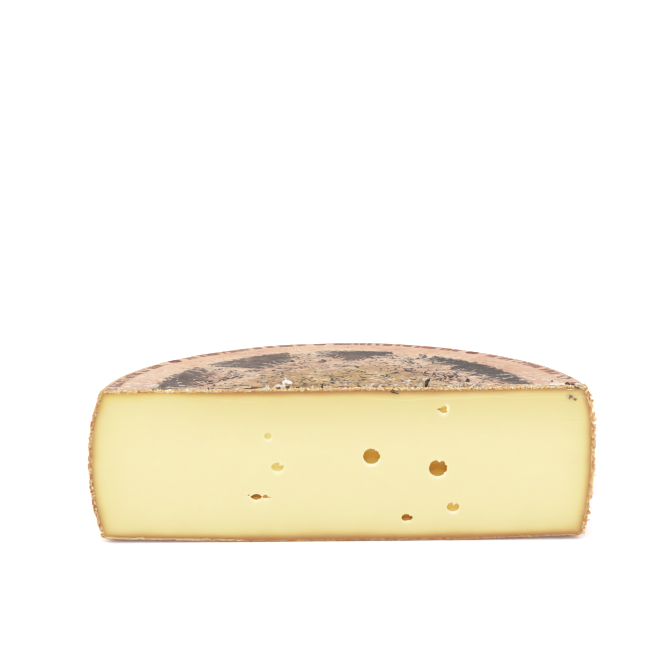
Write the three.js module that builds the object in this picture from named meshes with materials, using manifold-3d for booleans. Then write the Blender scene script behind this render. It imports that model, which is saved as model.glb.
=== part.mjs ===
// Half of a round washed-rind mountain cheese, cut straight down through its middle,
// with the half of its paper label that stays on the upper face.
//
// Frame: millimetres, +Z up. The cut face looks towards -Y and the rind curves round the
// back towards +Y. The origin lies on the surface that the cheese stands on, under the
// middle of its bounding box.

import * as THREE from 'three';
import { mergeVertices } from 'three/addons/utils/BufferGeometryUtils.js';
import Module from 'manifold-3d';

const manifold = await Module();
manifold.setup();

// ---- driving dimensions (mm) ----

const WHEEL_RADIUS = 150; // at the widest part of the bulging side
const LABEL_TOP = 94; // height of the whole cheese, label included
const LABEL_THICKNESS = 0.3;
const LABEL_MARGIN = 2.5; // bare rind between the label and the upper edge
const CHEESE_TOP = LABEL_TOP - LABEL_THICKNESS;

const BULGE_HEIGHT = 46; // where the side is widest
const UPPER_INSET = 7.5; // how far the side draws in by the upper edge
const UPPER_POWER = 2.6; // how late it does so
const LOWER_INSET = 6; // the same for the lower edge
const LOWER_POWER = 2;

const FOOT_RADIUS = 90; // the flat part of the underside
const UNDERSIDE_LIFT = 2.2; // the underside curls up this much by the lower edge
const UPPER_EDGE_ROUNDING = 2;
const LOWER_EDGE_ROUNDING = 3.5;

const SEGMENTS_ROUND = 128; // facets in a full turn of the wheel
const SIDE_STEPS = 12;
const UNDERSIDE_STEPS = 4;
const EDGE_STEPS = 4;

// The half reaches from the cut face to the back of the bulge, and the origin is midway.
const CUT_Y = -WHEEL_RADIUS / 2;

// Eyes that the knife opened: centre on the cut face, size of the opening, depth, and how
// far behind the face the widest part of the hollow lies.
const EYES = [
  { x: 16.5, z: 53, width: 10.1, height: 10.1, depth: 6.5, setback: 1.5 },
  { x: 56, z: 45, width: 10.7, height: 9.9, depth: 6.5, setback: 1.5 },
  { x: 59, z: 80.5, width: 6.8, height: 3.8, depth: 2.5, setback: 0 },
  { x: 65.3, z: 20.8, width: 6.6, height: 5.2, depth: 2.5, setback: 0 },
  { x: 37.8, z: 14.4, width: 6, height: 4.1, depth: 5, setback: 1 },
  { x: -39.3, z: 46.3, width: 6.8, height: 5, depth: 2, setback: 0 },
  { x: -44.7, z: 65.3, width: 4.1, height: 4, depth: 1.2, setback: 0 },
  { x: -52, z: 28.2, width: 5.9, height: 3.5, depth: 4.5, setback: 0.5 },
  { x: -46.8, z: 28.2, width: 3.6, height: 1.9, depth: 2, setback: 0 },
];
const EYE_SEGMENTS = 16;
const EYE_RINGS = 10;

const pasteFinish = new THREE.MeshStandardMaterial({
  color: 0xf1e8b7,
  roughness: 0.5,
  metalness: 0,
});
const labelFinish = new THREE.MeshStandardMaterial({
  color: 0xd3a585,
  roughness: 0.75,
  metalness: 0,
});

// ---- closed geometry to manifold solid, and back ----

function solidFrom(geometry) {
  geometry.deleteAttribute('normal');
  geometry.deleteAttribute('uv');
  const merged = mergeVertices(geometry, 1e-5);
  return new manifold.Manifold(new manifold.Mesh({
    numProp: 3,
    vertProperties: new Float32Array(merged.attributes.position.array),
    triVerts: new Uint32Array(merged.index.array),
  }));
}

function geometryFrom(solid) {
  const mesh = solid.getMesh();
  const geometry = new THREE.BufferGeometry();
  geometry.setAttribute('position', new THREE.BufferAttribute(mesh.vertProperties, 3));
  geometry.setIndex(new THREE.BufferAttribute(mesh.triVerts, 1));
  return geometry;
}

// ---- outline of the wheel: radius against height ----

function sideRadius(height) {
  if (height > BULGE_HEIGHT) {
    const rise = (height - BULGE_HEIGHT) / (CHEESE_TOP - BULGE_HEIGHT);
    return WHEEL_RADIUS - UPPER_INSET * rise ** UPPER_POWER;
  }
  const drop = (BULGE_HEIGHT - height) / BULGE_HEIGHT;
  return WHEEL_RADIUS - LOWER_INSET * drop ** LOWER_POWER;
}

function undersideHeight(radius) {
  const reach = sideRadius(0) - FOOT_RADIUS;
  return UNDERSIDE_LIFT * Math.max(0, (radius - FOOT_RADIUS) / reach) ** 1.2;
}

function roundedEdge(start, corner, end) {
  return new THREE.QuadraticBezierCurve(start, corner, end).getPoints(EDGE_STEPS);
}

function wheelOutline() {
  const lowerCorner = new THREE.Vector2(sideRadius(UNDERSIDE_LIFT), UNDERSIDE_LIFT);
  const upperCorner = new THREE.Vector2(sideRadius(CHEESE_TOP), CHEESE_TOP);
  const footEnd = lowerCorner.x - LOWER_EDGE_ROUNDING;
  const sideStart = lowerCorner.y + LOWER_EDGE_ROUNDING;
  const sideEnd = CHEESE_TOP - UPPER_EDGE_ROUNDING;

  const outline = [new THREE.Vector2(0, 0)];
  for (let step = 0; step < UNDERSIDE_STEPS; step += 1) {
    const radius = THREE.MathUtils.lerp(FOOT_RADIUS, footEnd, step / UNDERSIDE_STEPS);
    outline.push(new THREE.Vector2(radius, undersideHeight(radius)));
  }
  outline.push(...roundedEdge(
    new THREE.Vector2(footEnd, undersideHeight(footEnd)),
    lowerCorner,
    new THREE.Vector2(sideRadius(sideStart), sideStart),
  ));
  for (let step = 1; step < SIDE_STEPS; step += 1) {
    const height = THREE.MathUtils.lerp(sideStart, sideEnd, step / SIDE_STEPS);
    outline.push(new THREE.Vector2(sideRadius(height), height));
  }
  outline.push(...roundedEdge(
    new THREE.Vector2(sideRadius(sideEnd), sideEnd),
    upperCorner,
    new THREE.Vector2(upperCorner.x - UPPER_EDGE_ROUNDING, CHEESE_TOP),
  ));
  outline.push(new THREE.Vector2(0, CHEESE_TOP));
  return outline;
}

// ---- solids, each one built about the wheel's own axis ----

// Everything behind the knife's cut through the axis.
function behindTheCut() {
  const reach = 2 * WHEEL_RADIUS;
  const block = new THREE.BoxGeometry(2 * reach, reach, 2 * reach);
  return solidFrom(block.translate(0, reach / 2, 0));
}

function eye({ x, z, width, height, depth, setback }) {
  // The hollow is widest behind the face, so its own radii are a little larger than the
  // opening's.
  const centreDepth = depth - setback;
  const spread = 1 / Math.sqrt(1 - (setback / centreDepth) ** 2);
  const hollow = new THREE.SphereGeometry(1, EYE_SEGMENTS, EYE_RINGS);
  hollow.scale(spread * width / 2, centreDepth, spread * height / 2);
  return solidFrom(hollow.translate(x, setback, z));
}

function cheeseHalfWheel() {
  const turned = new THREE.LatheGeometry(wheelOutline(), SEGMENTS_ROUND);
  turned.rotateX(Math.PI / 2);
  let cheese = solidFrom(turned).intersect(behindTheCut());
  for (const opening of EYES) {
    cheese = cheese.subtract(eye(opening));
  }
  const mesh = new THREE.Mesh(geometryFrom(cheese), pasteFinish);
  mesh.name = 'cheese_half_wheel';
  return mesh;
}

function topLabel() {
  const radius = sideRadius(CHEESE_TOP) - LABEL_MARGIN;
  const halfDisc = new THREE.Shape();
  halfDisc.absarc(0, 0, radius, 0, Math.PI);
  halfDisc.closePath();
  const sheet = new THREE.ExtrudeGeometry(halfDisc, {
    depth: LABEL_THICKNESS,
    bevelEnabled: false,
    curveSegments: SEGMENTS_ROUND / 2,
  });
  const mesh = new THREE.Mesh(sheet, labelFinish);
  mesh.position.z = CHEESE_TOP;
  mesh.name = 'top_label';
  return mesh;
}

const halfWheel = new THREE.Group();
halfWheel.add(cheeseHalfWheel(), topLabel());
halfWheel.position.y = CUT_Y;

export default halfWheel;
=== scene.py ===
"""Half of a round washed-rind mountain cheese, with the half label that lies on it.

Shapes are worked out in the wheel's own coordinates: millimetres from the wheel's axis at
the height of the table, with the cut face in the plane y = 0 and the rind behind it. They
are turned into the frame's metres when a mesh is made.
"""

import logging
import math
from collections.abc import Callable, Sequence
from dataclasses import dataclass, field
from enum import Enum
from functools import partial, reduce

import bmesh
import bpy
import numpy as np
from mathutils import Matrix, Vector, noise
from mathutils.geometry import delaunay_2d_cdt


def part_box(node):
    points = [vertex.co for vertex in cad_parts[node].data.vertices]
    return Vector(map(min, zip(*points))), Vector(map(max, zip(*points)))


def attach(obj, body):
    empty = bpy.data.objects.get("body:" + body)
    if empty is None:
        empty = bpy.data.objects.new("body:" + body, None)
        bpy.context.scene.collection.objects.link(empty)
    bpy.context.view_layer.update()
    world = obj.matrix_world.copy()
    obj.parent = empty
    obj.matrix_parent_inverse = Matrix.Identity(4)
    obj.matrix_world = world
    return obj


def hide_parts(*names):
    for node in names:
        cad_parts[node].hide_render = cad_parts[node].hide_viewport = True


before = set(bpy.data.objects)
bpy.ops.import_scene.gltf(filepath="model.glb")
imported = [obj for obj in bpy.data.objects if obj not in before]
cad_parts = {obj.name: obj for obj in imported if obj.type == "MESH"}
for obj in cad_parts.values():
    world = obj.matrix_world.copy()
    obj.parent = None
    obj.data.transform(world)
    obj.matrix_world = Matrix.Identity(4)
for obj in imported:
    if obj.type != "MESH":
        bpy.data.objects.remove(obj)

Array = np.ndarray
Tint = tuple[float, float, float, float]
Stop = tuple[float, tuple[int, int, int]]
Object = bpy.types.Object
Material = bpy.types.Material
Tree = bpy.types.NodeTree
Node = bpy.types.Node
Socket = bpy.types.NodeSocket
Feed = Socket | float | Sequence[float]
MM = 0.001
ROOT = "root"
log = logging.getLogger("half_wheel")


class Slot(Enum):
    """The record's material slots."""

    CHEESE = "cheese"
    LABEL = "label"


# ---- Small numeric helpers ----


def ripple(points: Array, size: float, seed: int) -> Array:
    """Smooth noise at many points.

    Args:
        points: Rows of x, y, z.
        size: Width of the noise's bumps, in the points' own units.
        seed: Picks one noise field of many.

    Returns:
        One value for each point, about -1 to 1.
    """
    shift = Vector((seed * 7.13, seed * -3.71, seed * 5.37))
    return np.array([noise.noise(Vector(p) / size + shift) for p in points])


def ease(values: Array, low: float, high: float) -> Array:
    """Smooth step from 0 at low to 1 at high."""
    share = np.clip((values - low) / (high - low), 0.0, 1.0)
    return share * share * (3.0 - 2.0 * share)


def graded_steps(length: float, fine: float, growth: float, coarse: float) -> Array:
    """Places along a line that start close together and spread out.

    Args:
        length: Length of the line.
        fine: First step.
        growth: How much a step grows for each unit of distance from the start.
        coarse: Longest step.

    Returns:
        Rising places from 0 to length, both included.
    """
    places = [0.0]
    while places[-1] < length:
        places.append(places[-1] + min(coarse, fine + growth * places[-1]))
    return np.array(places) * (length / places[-1])


def even_steps(length: float, step: float) -> Array:
    """Evenly spaced places from 0 to length, about step apart."""
    return np.linspace(0.0, length, max(2, round(length / step) + 1))


def half_disc_places(radius: float, rows: Array) -> list[tuple[float, float]]:
    """Places inside a half disc whose straight edge lies along x.

    Args:
        radius: The disc's radius.
        rows: Rising y of the rows of places; a row's own places are as far apart as its
            neighbours.

    Returns:
        The places, without any on the disc's edges.
    """
    places = []
    for above, row, below in zip(rows, rows[1:], rows[2:], strict=False):
        gap = (below - above) / 2
        reach = math.sqrt(max(radius**2 - row**2, 0.0)) - 0.7 * gap
        if reach > gap:
            places += [(x - reach, row) for x in even_steps(2 * reach, gap)]
    return places


def upright(flat: Array) -> Array:
    """Rows of x and z as rows of x, y, z in the plane of the cut face."""
    return np.column_stack([flat[:, 0], np.zeros(len(flat)), flat[:, 1]])


def nearest(points: Array, targets: Array) -> tuple[Array, Array]:
    """Distance from each point to its nearest target.

    Args:
        points: Rows of coordinates.
        targets: Rows of coordinates in the same space.

    Returns:
        The distances, and the index of each point's target.
    """
    distances = np.empty(len(points))
    indices = np.empty(len(points), int)
    for start in range(0, len(points), 2000):
        block = points[start : start + 2000]
        gaps = np.linalg.norm(block[:, None, :] - targets[None, :, :], axis=2)
        indices[start : start + 2000] = gaps.argmin(axis=1)
        distances[start : start + 2000] = gaps.min(axis=1)
    return distances, indices


def triangulate(points: Array, loops: Sequence[Sequence[int]]) -> tuple[Array, Array]:
    """Triangles over a convex cloud of points that keep the given closed loops as edges.

    Args:
        points: Rows of two coordinates.
        loops: Closed runs of point indices; the first one is the outer boundary.

    Returns:
        The points that the triangles use, and rows of three indices into them.
    """
    edges = [(loop[i], loop[(i + 1) % len(loop)]) for loop in loops for i in range(len(loop))]
    made = delaunay_2d_cdt([Vector(p) for p in points], edges, [], 1, 1e-7)
    return np.array([tuple(v) for v in made[0]]), np.array(made[2])


def tube_faces(count: int, levels: int) -> list[list[int]]:
    """Faces of a tube of rings.

    Args:
        count: Points in each ring.
        levels: How many times one ring is joined to the next.

    Returns:
        Faces of four indices each.
    """
    faces = []
    for low in range(0, levels * count, count):
        for i in range(count):
            after = (i + 1) % count
            faces.append([low + i, low + after, low + count + after, low + count + i])
    return faces


# ---- Form of the wheel ----


@dataclass(frozen=True)
class SideShape:
    """Profile of the bulging side at one end of the cut, in millimetres."""

    radius: float
    upper_inset: float
    upper_power: float
    lower_inset: float
    lower_power: float

    def radius_at(self, rise: Array, drop: Array) -> Array:
        """Radius at shares of the way up to the top or down to the table."""
        upper = self.upper_inset * rise**self.upper_power
        return self.radius - upper - self.lower_inset * drop**self.lower_power


@dataclass(frozen=True)
class WheelForm:
    """The half wheel's outline and the unevenness that a hand-made cheese has."""

    radius: float
    top: float
    label_top: float
    cut_y: float
    bulge_height: float = 46.0
    upper_inset: float = 7.5
    upper_power: float = 2.6
    lower_inset: float = 6.0
    lower_power: float = 2.0
    foot_radius: float = 90.0
    underside_lift: float = 1.4
    upper_rounding: float = 1.3
    lower_rounding: float = 3.2
    right_end: SideShape = SideShape(148.2, 6.7, 3.0, 6.0, 2.0)
    left_end: SideShape = SideShape(150.3, 8.9, 2.3, 7.9, 2.3)
    torn_foot: float = 0.3
    torn_foot_ends: float = 0.8
    edge_step: float = 0.42
    step_growth: float = 0.28
    coarse_step: float = 2.6

    @classmethod
    def from_frame(cls) -> "WheelForm":
        """Reads the wheel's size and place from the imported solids.

        Returns:
            The form, with sizes in millimetres.
        """
        low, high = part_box("cheese_half_wheel")
        label_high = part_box("top_label")[1]
        return cls(
            radius=round((high.x - low.x) / 2 / MM, 1),
            top=high.z / MM,
            label_top=label_high.z / MM,
            cut_y=low.y / MM,
        )

    def side_radius(self, height: Array, shape: SideShape | None = None) -> Array:
        """Radius of the bulging side at each height, of the mean side unless told which.

        Args:
            height: Heights above the table.
            shape: Another side than the mean one.

        Returns:
            Radii in millimetres.
        """
        rise = np.clip((height - self.bulge_height) / (self.top - self.bulge_height), 0, 1)
        drop = np.clip((self.bulge_height - height) / self.bulge_height, 0, 1)
        mean = (self.radius, self.upper_inset, self.upper_power, self.lower_inset, self.lower_power)
        return (shape or SideShape(*mean)).radius_at(rise, drop)

    def end_shift(self, points: Array) -> Array:
        """Displacement that gives the wheel its different left and right ends.

        Args:
            points: Rows of x, y, z in wheel coordinates.

        Returns:
            Rows of x, y, z steps.
        """
        reach = np.maximum(np.hypot(points[:, 0], points[:, 1]), 1e-6)
        across = points[:, 0] / reach
        even = self.side_radius(points[:, 2])
        to_right = self.side_radius(points[:, 2], self.right_end) - even
        to_left = self.side_radius(points[:, 2], self.left_end) - even
        step = np.where(across > 0, to_right, to_left) * np.abs(across) * (reach / self.radius) ** 8
        outward = np.column_stack([across, points[:, 1] / reach, np.zeros(len(points))])
        return outward * step[:, None]

    def foot_lift(self, points: Array) -> Array:
        """How far the knife pulled the lower edge of the cut up off the table.

        Args:
            points: Rows of x, y, z in wheel coordinates.

        Returns:
            Lifts in millimetres.
        """
        low = 1.0 - ease(points[:, 2], 0.5, 7.0)
        uneven = 0.75 + 0.5 * ripple(points * [1.0, 0.0, 0.0], 14.0, 31)
        torn = self.torn_foot * uneven + self.torn_foot_ends * ease(np.abs(points[:, 0]), 55.0, 105.0)
        return torn * low * np.exp(-((points[:, 1] / 3.5) ** 2))

    def underside_height(self, radius: Array) -> Array:
        """Height of the underside, which curls up a little towards its rim."""
        reach = float(self.side_radius(np.array(0.0))) - self.foot_radius
        return self.underside_lift * np.clip((radius - self.foot_radius) / reach, 0.0, None) ** 1.2

    @staticmethod
    def _rounded(start: Array, corner: Array, end: Array) -> Array:
        """Points of a rounded corner, from start to end."""
        share = even_steps(1.0, 0.1)[:, None]
        return (1 - share) ** 2 * start + 2 * share * (1 - share) * corner + share**2 * end

    def rim_outline(self) -> Array:
        """The side's profile with its two rounded corners.

        Returns:
            Rows of radius and height, from the underside's end to the top's end.
        """
        lift = self.underside_lift
        corner = np.array([float(self.side_radius(np.array(lift))), lift])
        foot_end = corner[0] - self.lower_rounding
        foot = np.array([foot_end, float(self.underside_height(np.array(foot_end)))])
        heights = np.linspace(lift + self.lower_rounding, self.top - self.upper_rounding, 60)
        side = np.column_stack([self.side_radius(heights), heights])
        crown = np.array([float(self.side_radius(np.array(self.top))), self.top])
        crown_end = crown - [self.upper_rounding, 0.0]
        lower = self._rounded(foot, corner, side[0])
        upper = self._rounded(side[-1], crown, crown_end)
        return np.vstack([lower, side[1:-1], upper])

    def steps_from_cut(self, length: float) -> Array:
        """Places along a line that starts at the cut, where the mesh is finest."""
        return graded_steps(length, self.edge_step, self.step_growth, self.coarse_step)

    def to_frame(self, points: Array) -> Array:
        """Wheel coordinates in millimetres to the frame's metres."""
        return (points + [0.0, self.cut_y, 0.0]) * MM

    def swell(self, points: Array) -> Array:
        """How far the surface stands out from its even form, along its normal."""
        broad = 0.45 * ripple(points, 55.0, 3) + 0.22 * ripple(points, 17.0, 5)
        return broad + 0.1 * ripple(points, 6.0, 8)

    def tilt(self, points: Array) -> Array:
        """How much higher the top lies, which is more on the right than on the left."""
        high = ease(points[:, 2], 0.5 * self.top, self.top)
        return high * (0.25 + 0.6 * points[:, 0] / self.radius)

    def top_height(self, points: Array) -> Array:
        """Height of the cheese's upper face at each place.

        Args:
            points: Rows of x, y, z in wheel coordinates; z isn't read.

        Returns:
            Heights in millimetres.
        """
        flat = np.column_stack([points[:, 0], points[:, 1], np.full(len(points), self.top)])
        return self.top + self.swell(flat) + self.tilt(flat)


@dataclass(frozen=True)
class CutEdge:
    """How rough the knife and the dry rind left the rim of the cut face."""

    form: WheelForm

    def coarseness(self, points: Array) -> Array:
        """Roughness along the rim: greatest on the right side, least underneath.

        Args:
            points: Rows of x, y, z in wheel coordinates.

        Returns:
            Shares of the roughest possible.
        """
        x, z = points[:, 0], points[:, 2]
        right = ease(x, 0.93 * self.form.radius, 0.965 * self.form.radius)
        left = ease(-x, 0.93 * self.form.radius, 0.965 * self.form.radius)
        upper = ease(z, self.form.top - 6.0, self.form.top - 1.0)
        return 0.28 + 0.4 * right + 0.3 * left + 0.14 * upper

    def outward(self, points: Array) -> Array:
        """In-plane displacement of the rim, in millimetres."""
        rough = 0.7 * ripple(points, 1.7, 11) + 0.6 * ripple(points, 0.75, 12)
        return self.coarseness(points) * (rough + 0.5 * ripple(points, 6.0, 13))

    def forward(self, points: Array) -> Array:
        """How far the rim's crumbs stand out of the cut face, in millimetres."""
        rough = np.abs(ripple(points, 1.3, 14)) + 0.6 * np.abs(ripple(points, 0.6, 15))
        return self.coarseness(points) * 0.9 * rough


# ---- Meshes ----


@dataclass
class MeshDraft:
    """Points, faces and point values of one piece, gathered patch by patch."""

    points: list[Array] = field(default_factory=list)
    faces: list[list[int]] = field(default_factory=list)
    slots: list[int] = field(default_factory=list)
    values: dict[str, list[Array]] = field(default_factory=dict)
    count: int = 0

    def add(
        self,
        points: Array,
        faces: Sequence[Sequence[int]],
        slot: int = 0,
        **values: Array | float,
    ) -> None:
        """Adds one patch.

        Args:
            points: Rows of x, y, z in wheel coordinates.
            faces: Index runs into points.
            slot: Index of the patch's material.
            **values: One number for the patch, or one for each point. Every patch of a
                piece names the same values.
        """
        self.points.append(points)
        self.faces.extend([int(i) + self.count for i in face] for face in faces)
        self.slots.extend([slot] * len(faces))
        for name, value in values.items():
            whole = np.broadcast_to(np.asarray(value, float), (len(points),))
            self.values.setdefault(name, []).append(whole)
        self.count += len(points)

    def to_object(self, name: str, form: WheelForm, weld: float = 0.0) -> Object:
        """Makes the piece's object.

        Args:
            name: The piece's name.
            form: Gives the way from wheel coordinates to the frame.
            weld: Points closer together than this many millimetres become one.

        Returns:
            The object, smooth-shaded, with faces turned out where the mesh is closed.
        """
        mesh = bpy.data.meshes.new(name)
        mesh.from_pydata(form.to_frame(np.vstack(self.points)).tolist(), [], self.faces)
        mesh.polygons.foreach_set("material_index", self.slots)
        for label, parts in self.values.items():
            layer = mesh.attributes.new(label, "FLOAT", "POINT")
            layer.data.foreach_set("value", np.concatenate(parts).astype(np.float32))
        if weld:
            work = bmesh.new()
            work.from_mesh(mesh)
            bmesh.ops.remove_doubles(work, verts=work.verts[:], dist=weld * MM)
            bmesh.ops.recalc_face_normals(work, faces=work.faces[:])
            work.to_mesh(mesh)
            work.free()
        mesh.polygons.foreach_set("use_smooth", [True] * len(mesh.polygons))
        mesh.update()
        obj = bpy.data.objects.new(name, mesh)
        bpy.context.scene.collection.objects.link(obj)
        return obj


def settle(obj: Object, materials: Sequence[Material]) -> None:
    """Dresses a piece and lets it ride on the part's one body.

    Args:
        obj: The piece's object.
        materials: Its materials, in order.
    """
    for material in materials:
        obj.data.materials.append(material)
    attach(obj, ROOT)


# ---- Shader building ----


def srgb(red: int, green: int, blue: int) -> Tint:
    """Screen colour, 0 to 255 a channel, to the linear colour that shaders take.

    Args:
        red: Red, 0 to 255.
        green: Green.
        blue: Blue.

    Returns:
        The linear colour.
    """

    def linear(value: float) -> float:
        """One channel from screen value to light."""
        share = value / 255.0
        return share / 12.92 if share <= 0.04045 else ((share + 0.055) / 1.055) ** 2.4

    return linear(red), linear(green), linear(blue), 1.0


@dataclass
class Sketch:
    """A node tree being drawn. Most methods add a node and return its output socket."""

    tree: Tree
    place: Feed = (0.0, 0.0, 0.0)
    effects: "SharedEffects | None" = None

    def feed(self, made: Node, feeds: dict[str | int, Feed]) -> None:
        """Links a node's inputs, or sets their own values.

        Args:
            made: The node.
            feeds: Outputs or values for its inputs, by name or number.
        """
        for name, value in feeds.items():
            if isinstance(value, Socket):
                self.tree.links.new(value, made.inputs[name])
            else:
                made.inputs[name].default_value = value

    def node(self, kind: str, feeds: dict[str | int, Feed] | None = None, **settings: object) -> Node:
        """Adds a node.

        Args:
            kind: The node's type.
            feeds: Outputs or values for its inputs, by name or number.
            **settings: Its own settings.

        Returns:
            The node.
        """
        made = self.tree.nodes.new(kind)
        for name, value in settings.items():
            setattr(made, name, value)
        self.feed(made, feeds or {})
        return made

    def math(self, operation: str, *values: Feed, clamp: bool = False) -> Socket:
        """One math operation on one to three values."""
        feeds = dict(enumerate(values))
        return self.node("ShaderNodeMath", feeds, operation=operation, use_clamp=clamp).outputs[0]

    def vector(self, operation: str, feeds: dict[str | int, Feed], output: int = 0) -> Socket:
        """One operation on vectors."""
        return self.node("ShaderNodeVectorMath", feeds, operation=operation).outputs[output]

    def times(self, *values: Feed) -> Socket:
        """Product of all values."""
        return reduce(partial(self.math, "MULTIPLY"), values)

    def highest(self, *values: Feed) -> Socket:
        """Greatest of all values."""
        return reduce(partial(self.math, "MAXIMUM"), values)

    def plus(self, first: Feed, second: Feed) -> Socket:
        """Sum of two values."""
        return self.math("ADD", first, second)

    def less(self, first: Feed, second: Feed) -> Socket:
        """The first value less the second."""
        return self.math("SUBTRACT", first, second)

    def apart(self, first: Feed, second: Feed) -> Socket:
        """How far two values are apart."""
        return self.math("ABSOLUTE", self.less(first, second))

    def scaled(self, value: Feed, factor: Feed, offset: Feed) -> Socket:
        """A value times a factor, plus an offset."""
        return self.math("MULTIPLY_ADD", value, factor, offset)

    def mix(self, share: Feed, first: Feed, second: Feed, blend: str = "MIX") -> Socket:
        """Mixes two colours: first at share 0, second at share 1."""
        settings = {"data_type": "RGBA", "blend_type": blend, "clamp_factor": True}
        return self.node("ShaderNodeMix", {0: share, 6: first, 7: second}, **settings).outputs[2]

    def span(self, value: Feed, low: Feed, high: Feed, start: float = 0.0, end: float = 1.0) -> Socket:
        """Smoothly maps low to high onto start to end, and holds both ends."""
        feeds = {0: value, 1: low, 2: high, 3: start, 4: end}
        return self.node("ShaderNodeMapRange", feeds, interpolation_type="SMOOTHSTEP").outputs[0]

    def between(self, value: Feed, low: float, high: float, soft: float) -> Socket:
        """Mask that is 1 between low and high, with edges twice as wide as soft."""
        rising = self.span(value, low - soft, low + soft)
        return self.times(rising, self.span(value, high - soft, high + soft, 1.0, 0.0))

    def ramp(self, value: Feed, stops: Sequence[tuple[float, Tint]]) -> Socket:
        """Colour ramp.

        Args:
            value: Place on the ramp, 0 to 1.
            stops: Rising places with their colours.

        Returns:
            The colour.
        """
        made = self.node("ShaderNodeValToRGB", {0: value})
        elements = made.color_ramp.elements
        while len(elements) < len(stops):
            elements.new(1.0)
        for element, (place, colour) in zip(elements, stops, strict=True):
            element.position = place
            element.color = colour
        return made.outputs[0]

    def noise(
        self, scale: float, detail: float = 2.0, rough: float = 0.5, at: Socket | None = None
    ) -> Socket:
        """Noise texture value, 0 to 1, read at the sketch's place or at another vector."""
        feeds = {"Vector": at or self.place, "Scale": scale, "Detail": detail, "Roughness": rough}
        return self.node("ShaderNodeTexNoise", feeds).outputs[0]

    def voronoi(self, scale: float, feature: str = "F1") -> Node:
        """Voronoi texture node at the sketch's place."""
        return self.node("ShaderNodeTexVoronoi", {"Vector": self.place, "Scale": scale}, feature=feature)

    def value_of(self, name: str) -> Socket:
        """A value that the mesh's points carry."""
        return self.node("ShaderNodeAttribute", attribute_name=name).outputs["Fac"]

    def stretched(self, scale: Sequence[float], turn: float) -> Socket:
        """The sketch's place scaled along its axes after a turn about y, in degrees."""
        feeds = {"Vector": self.place, "Scale": scale, "Rotation": (0.0, math.radians(turn), 0.0)}
        return self.node("ShaderNodeMapping", feeds).outputs[0]

    def joined(self, x: Feed, y: Feed, z: Feed) -> Socket:
        """A vector from three values."""
        return self.node("ShaderNodeCombineXYZ", {0: x, 1: y, 2: z}).outputs[0]

    def parts(self, vector: Feed) -> tuple[Socket, ...]:
        """A vector's three values."""
        return tuple(self.node("ShaderNodeSeparateXYZ", {0: vector}).outputs)

    def bump(self, height: Feed, strength: float, distance: float, under: Feed | None = None) -> Socket:
        """Bump from a height; distance is in metres, and under is a normal to build on."""
        feeds = {"Strength": strength, "Distance": distance, "Height": height}
        return self.node("ShaderNodeBump", feeds | ({"Normal": under} if under else {})).outputs[0]

    def specks(self, size: float, amount: float) -> Socket:
        """Mask of small scattered specks; size in millimetres, amount 0 to 1."""
        return self._group(self.effects.specks, Size=size, Amount=amount)

    def mottle(self, size: float, hardness: float) -> Socket:
        """Mask of cloudy patches; size in millimetres, hardness 0 to 1."""
        return self._group(self.effects.mottle, Size=size, Hardness=hardness)

    def grain(self, size: float, pores: float) -> Socket:
        """Height of leathery grain; size in millimetres, pores 0 to 1."""
        return self._group(self.effects.grain, Size=size, Pores=pores)

    def _group(self, effect: Tree, **inputs: float) -> Socket:
        """Places a shared effect at the sketch's place."""
        feeds = {"Place": self.place, **inputs}
        return self.node("ShaderNodeGroup", feeds, node_tree=effect).outputs[0]


def new_material(
    name: str, form: WheelForm | None = None, effects: "SharedEffects | None" = None
) -> tuple[Material, Sketch, Node]:
    """Makes an empty material.

    Args:
        name: The material's name.
        form: Places patterns on the wheel, in its own millimetres, where it is given.
        effects: The shared effects that the material may use.

    Returns:
        The material, the sketch of its tree and its Principled shader.
    """
    material = bpy.data.materials.new(name)
    material.use_nodes = True
    material.node_tree.nodes.clear()
    sketch = Sketch(material.node_tree, effects=effects)
    if form:
        metres = sketch.node("ShaderNodeTexCoord").outputs["Object"]
        feeds = {"Vector": metres, "Scale": (1 / MM,) * 3, "Location": (0.0, -form.cut_y, 0.0)}
        sketch.place = sketch.node("ShaderNodeMapping", feeds).outputs[0]
    shader = sketch.node("ShaderNodeBsdfPrincipled")
    sketch.node("ShaderNodeOutputMaterial", {"Surface": shader.outputs[0]})
    return material, sketch, shader


def new_effect(name: str, amount: str, output: str) -> tuple[Sketch, Socket, Node]:
    """Makes an empty shared effect with inputs Place, Size and one more, and one output.

    Args:
        name: The effect's name.
        amount: Name of its third input.
        output: Name of its output.

    Returns:
        The sketch of the group, whose place is Place in units of Size, the third input,
        and the output node.
    """
    group = bpy.data.node_groups.new(name, "ShaderNodeTree")
    group.interface.new_socket("Place", in_out="INPUT", socket_type="NodeSocketVector")
    for label in ("Size", amount):
        group.interface.new_socket(label, in_out="INPUT", socket_type="NodeSocketFloat")
    group.interface.new_socket(output, in_out="OUTPUT", socket_type="NodeSocketFloat")
    sketch = Sketch(group)
    source = sketch.node("NodeGroupInput")
    given = source.outputs
    scale = sketch.math("DIVIDE", 1.0, given["Size"])
    sketch.place = sketch.vector("SCALE", {0: given["Place"], "Scale": scale})
    return sketch, given[amount], sketch.node("NodeGroupOutput")


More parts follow.
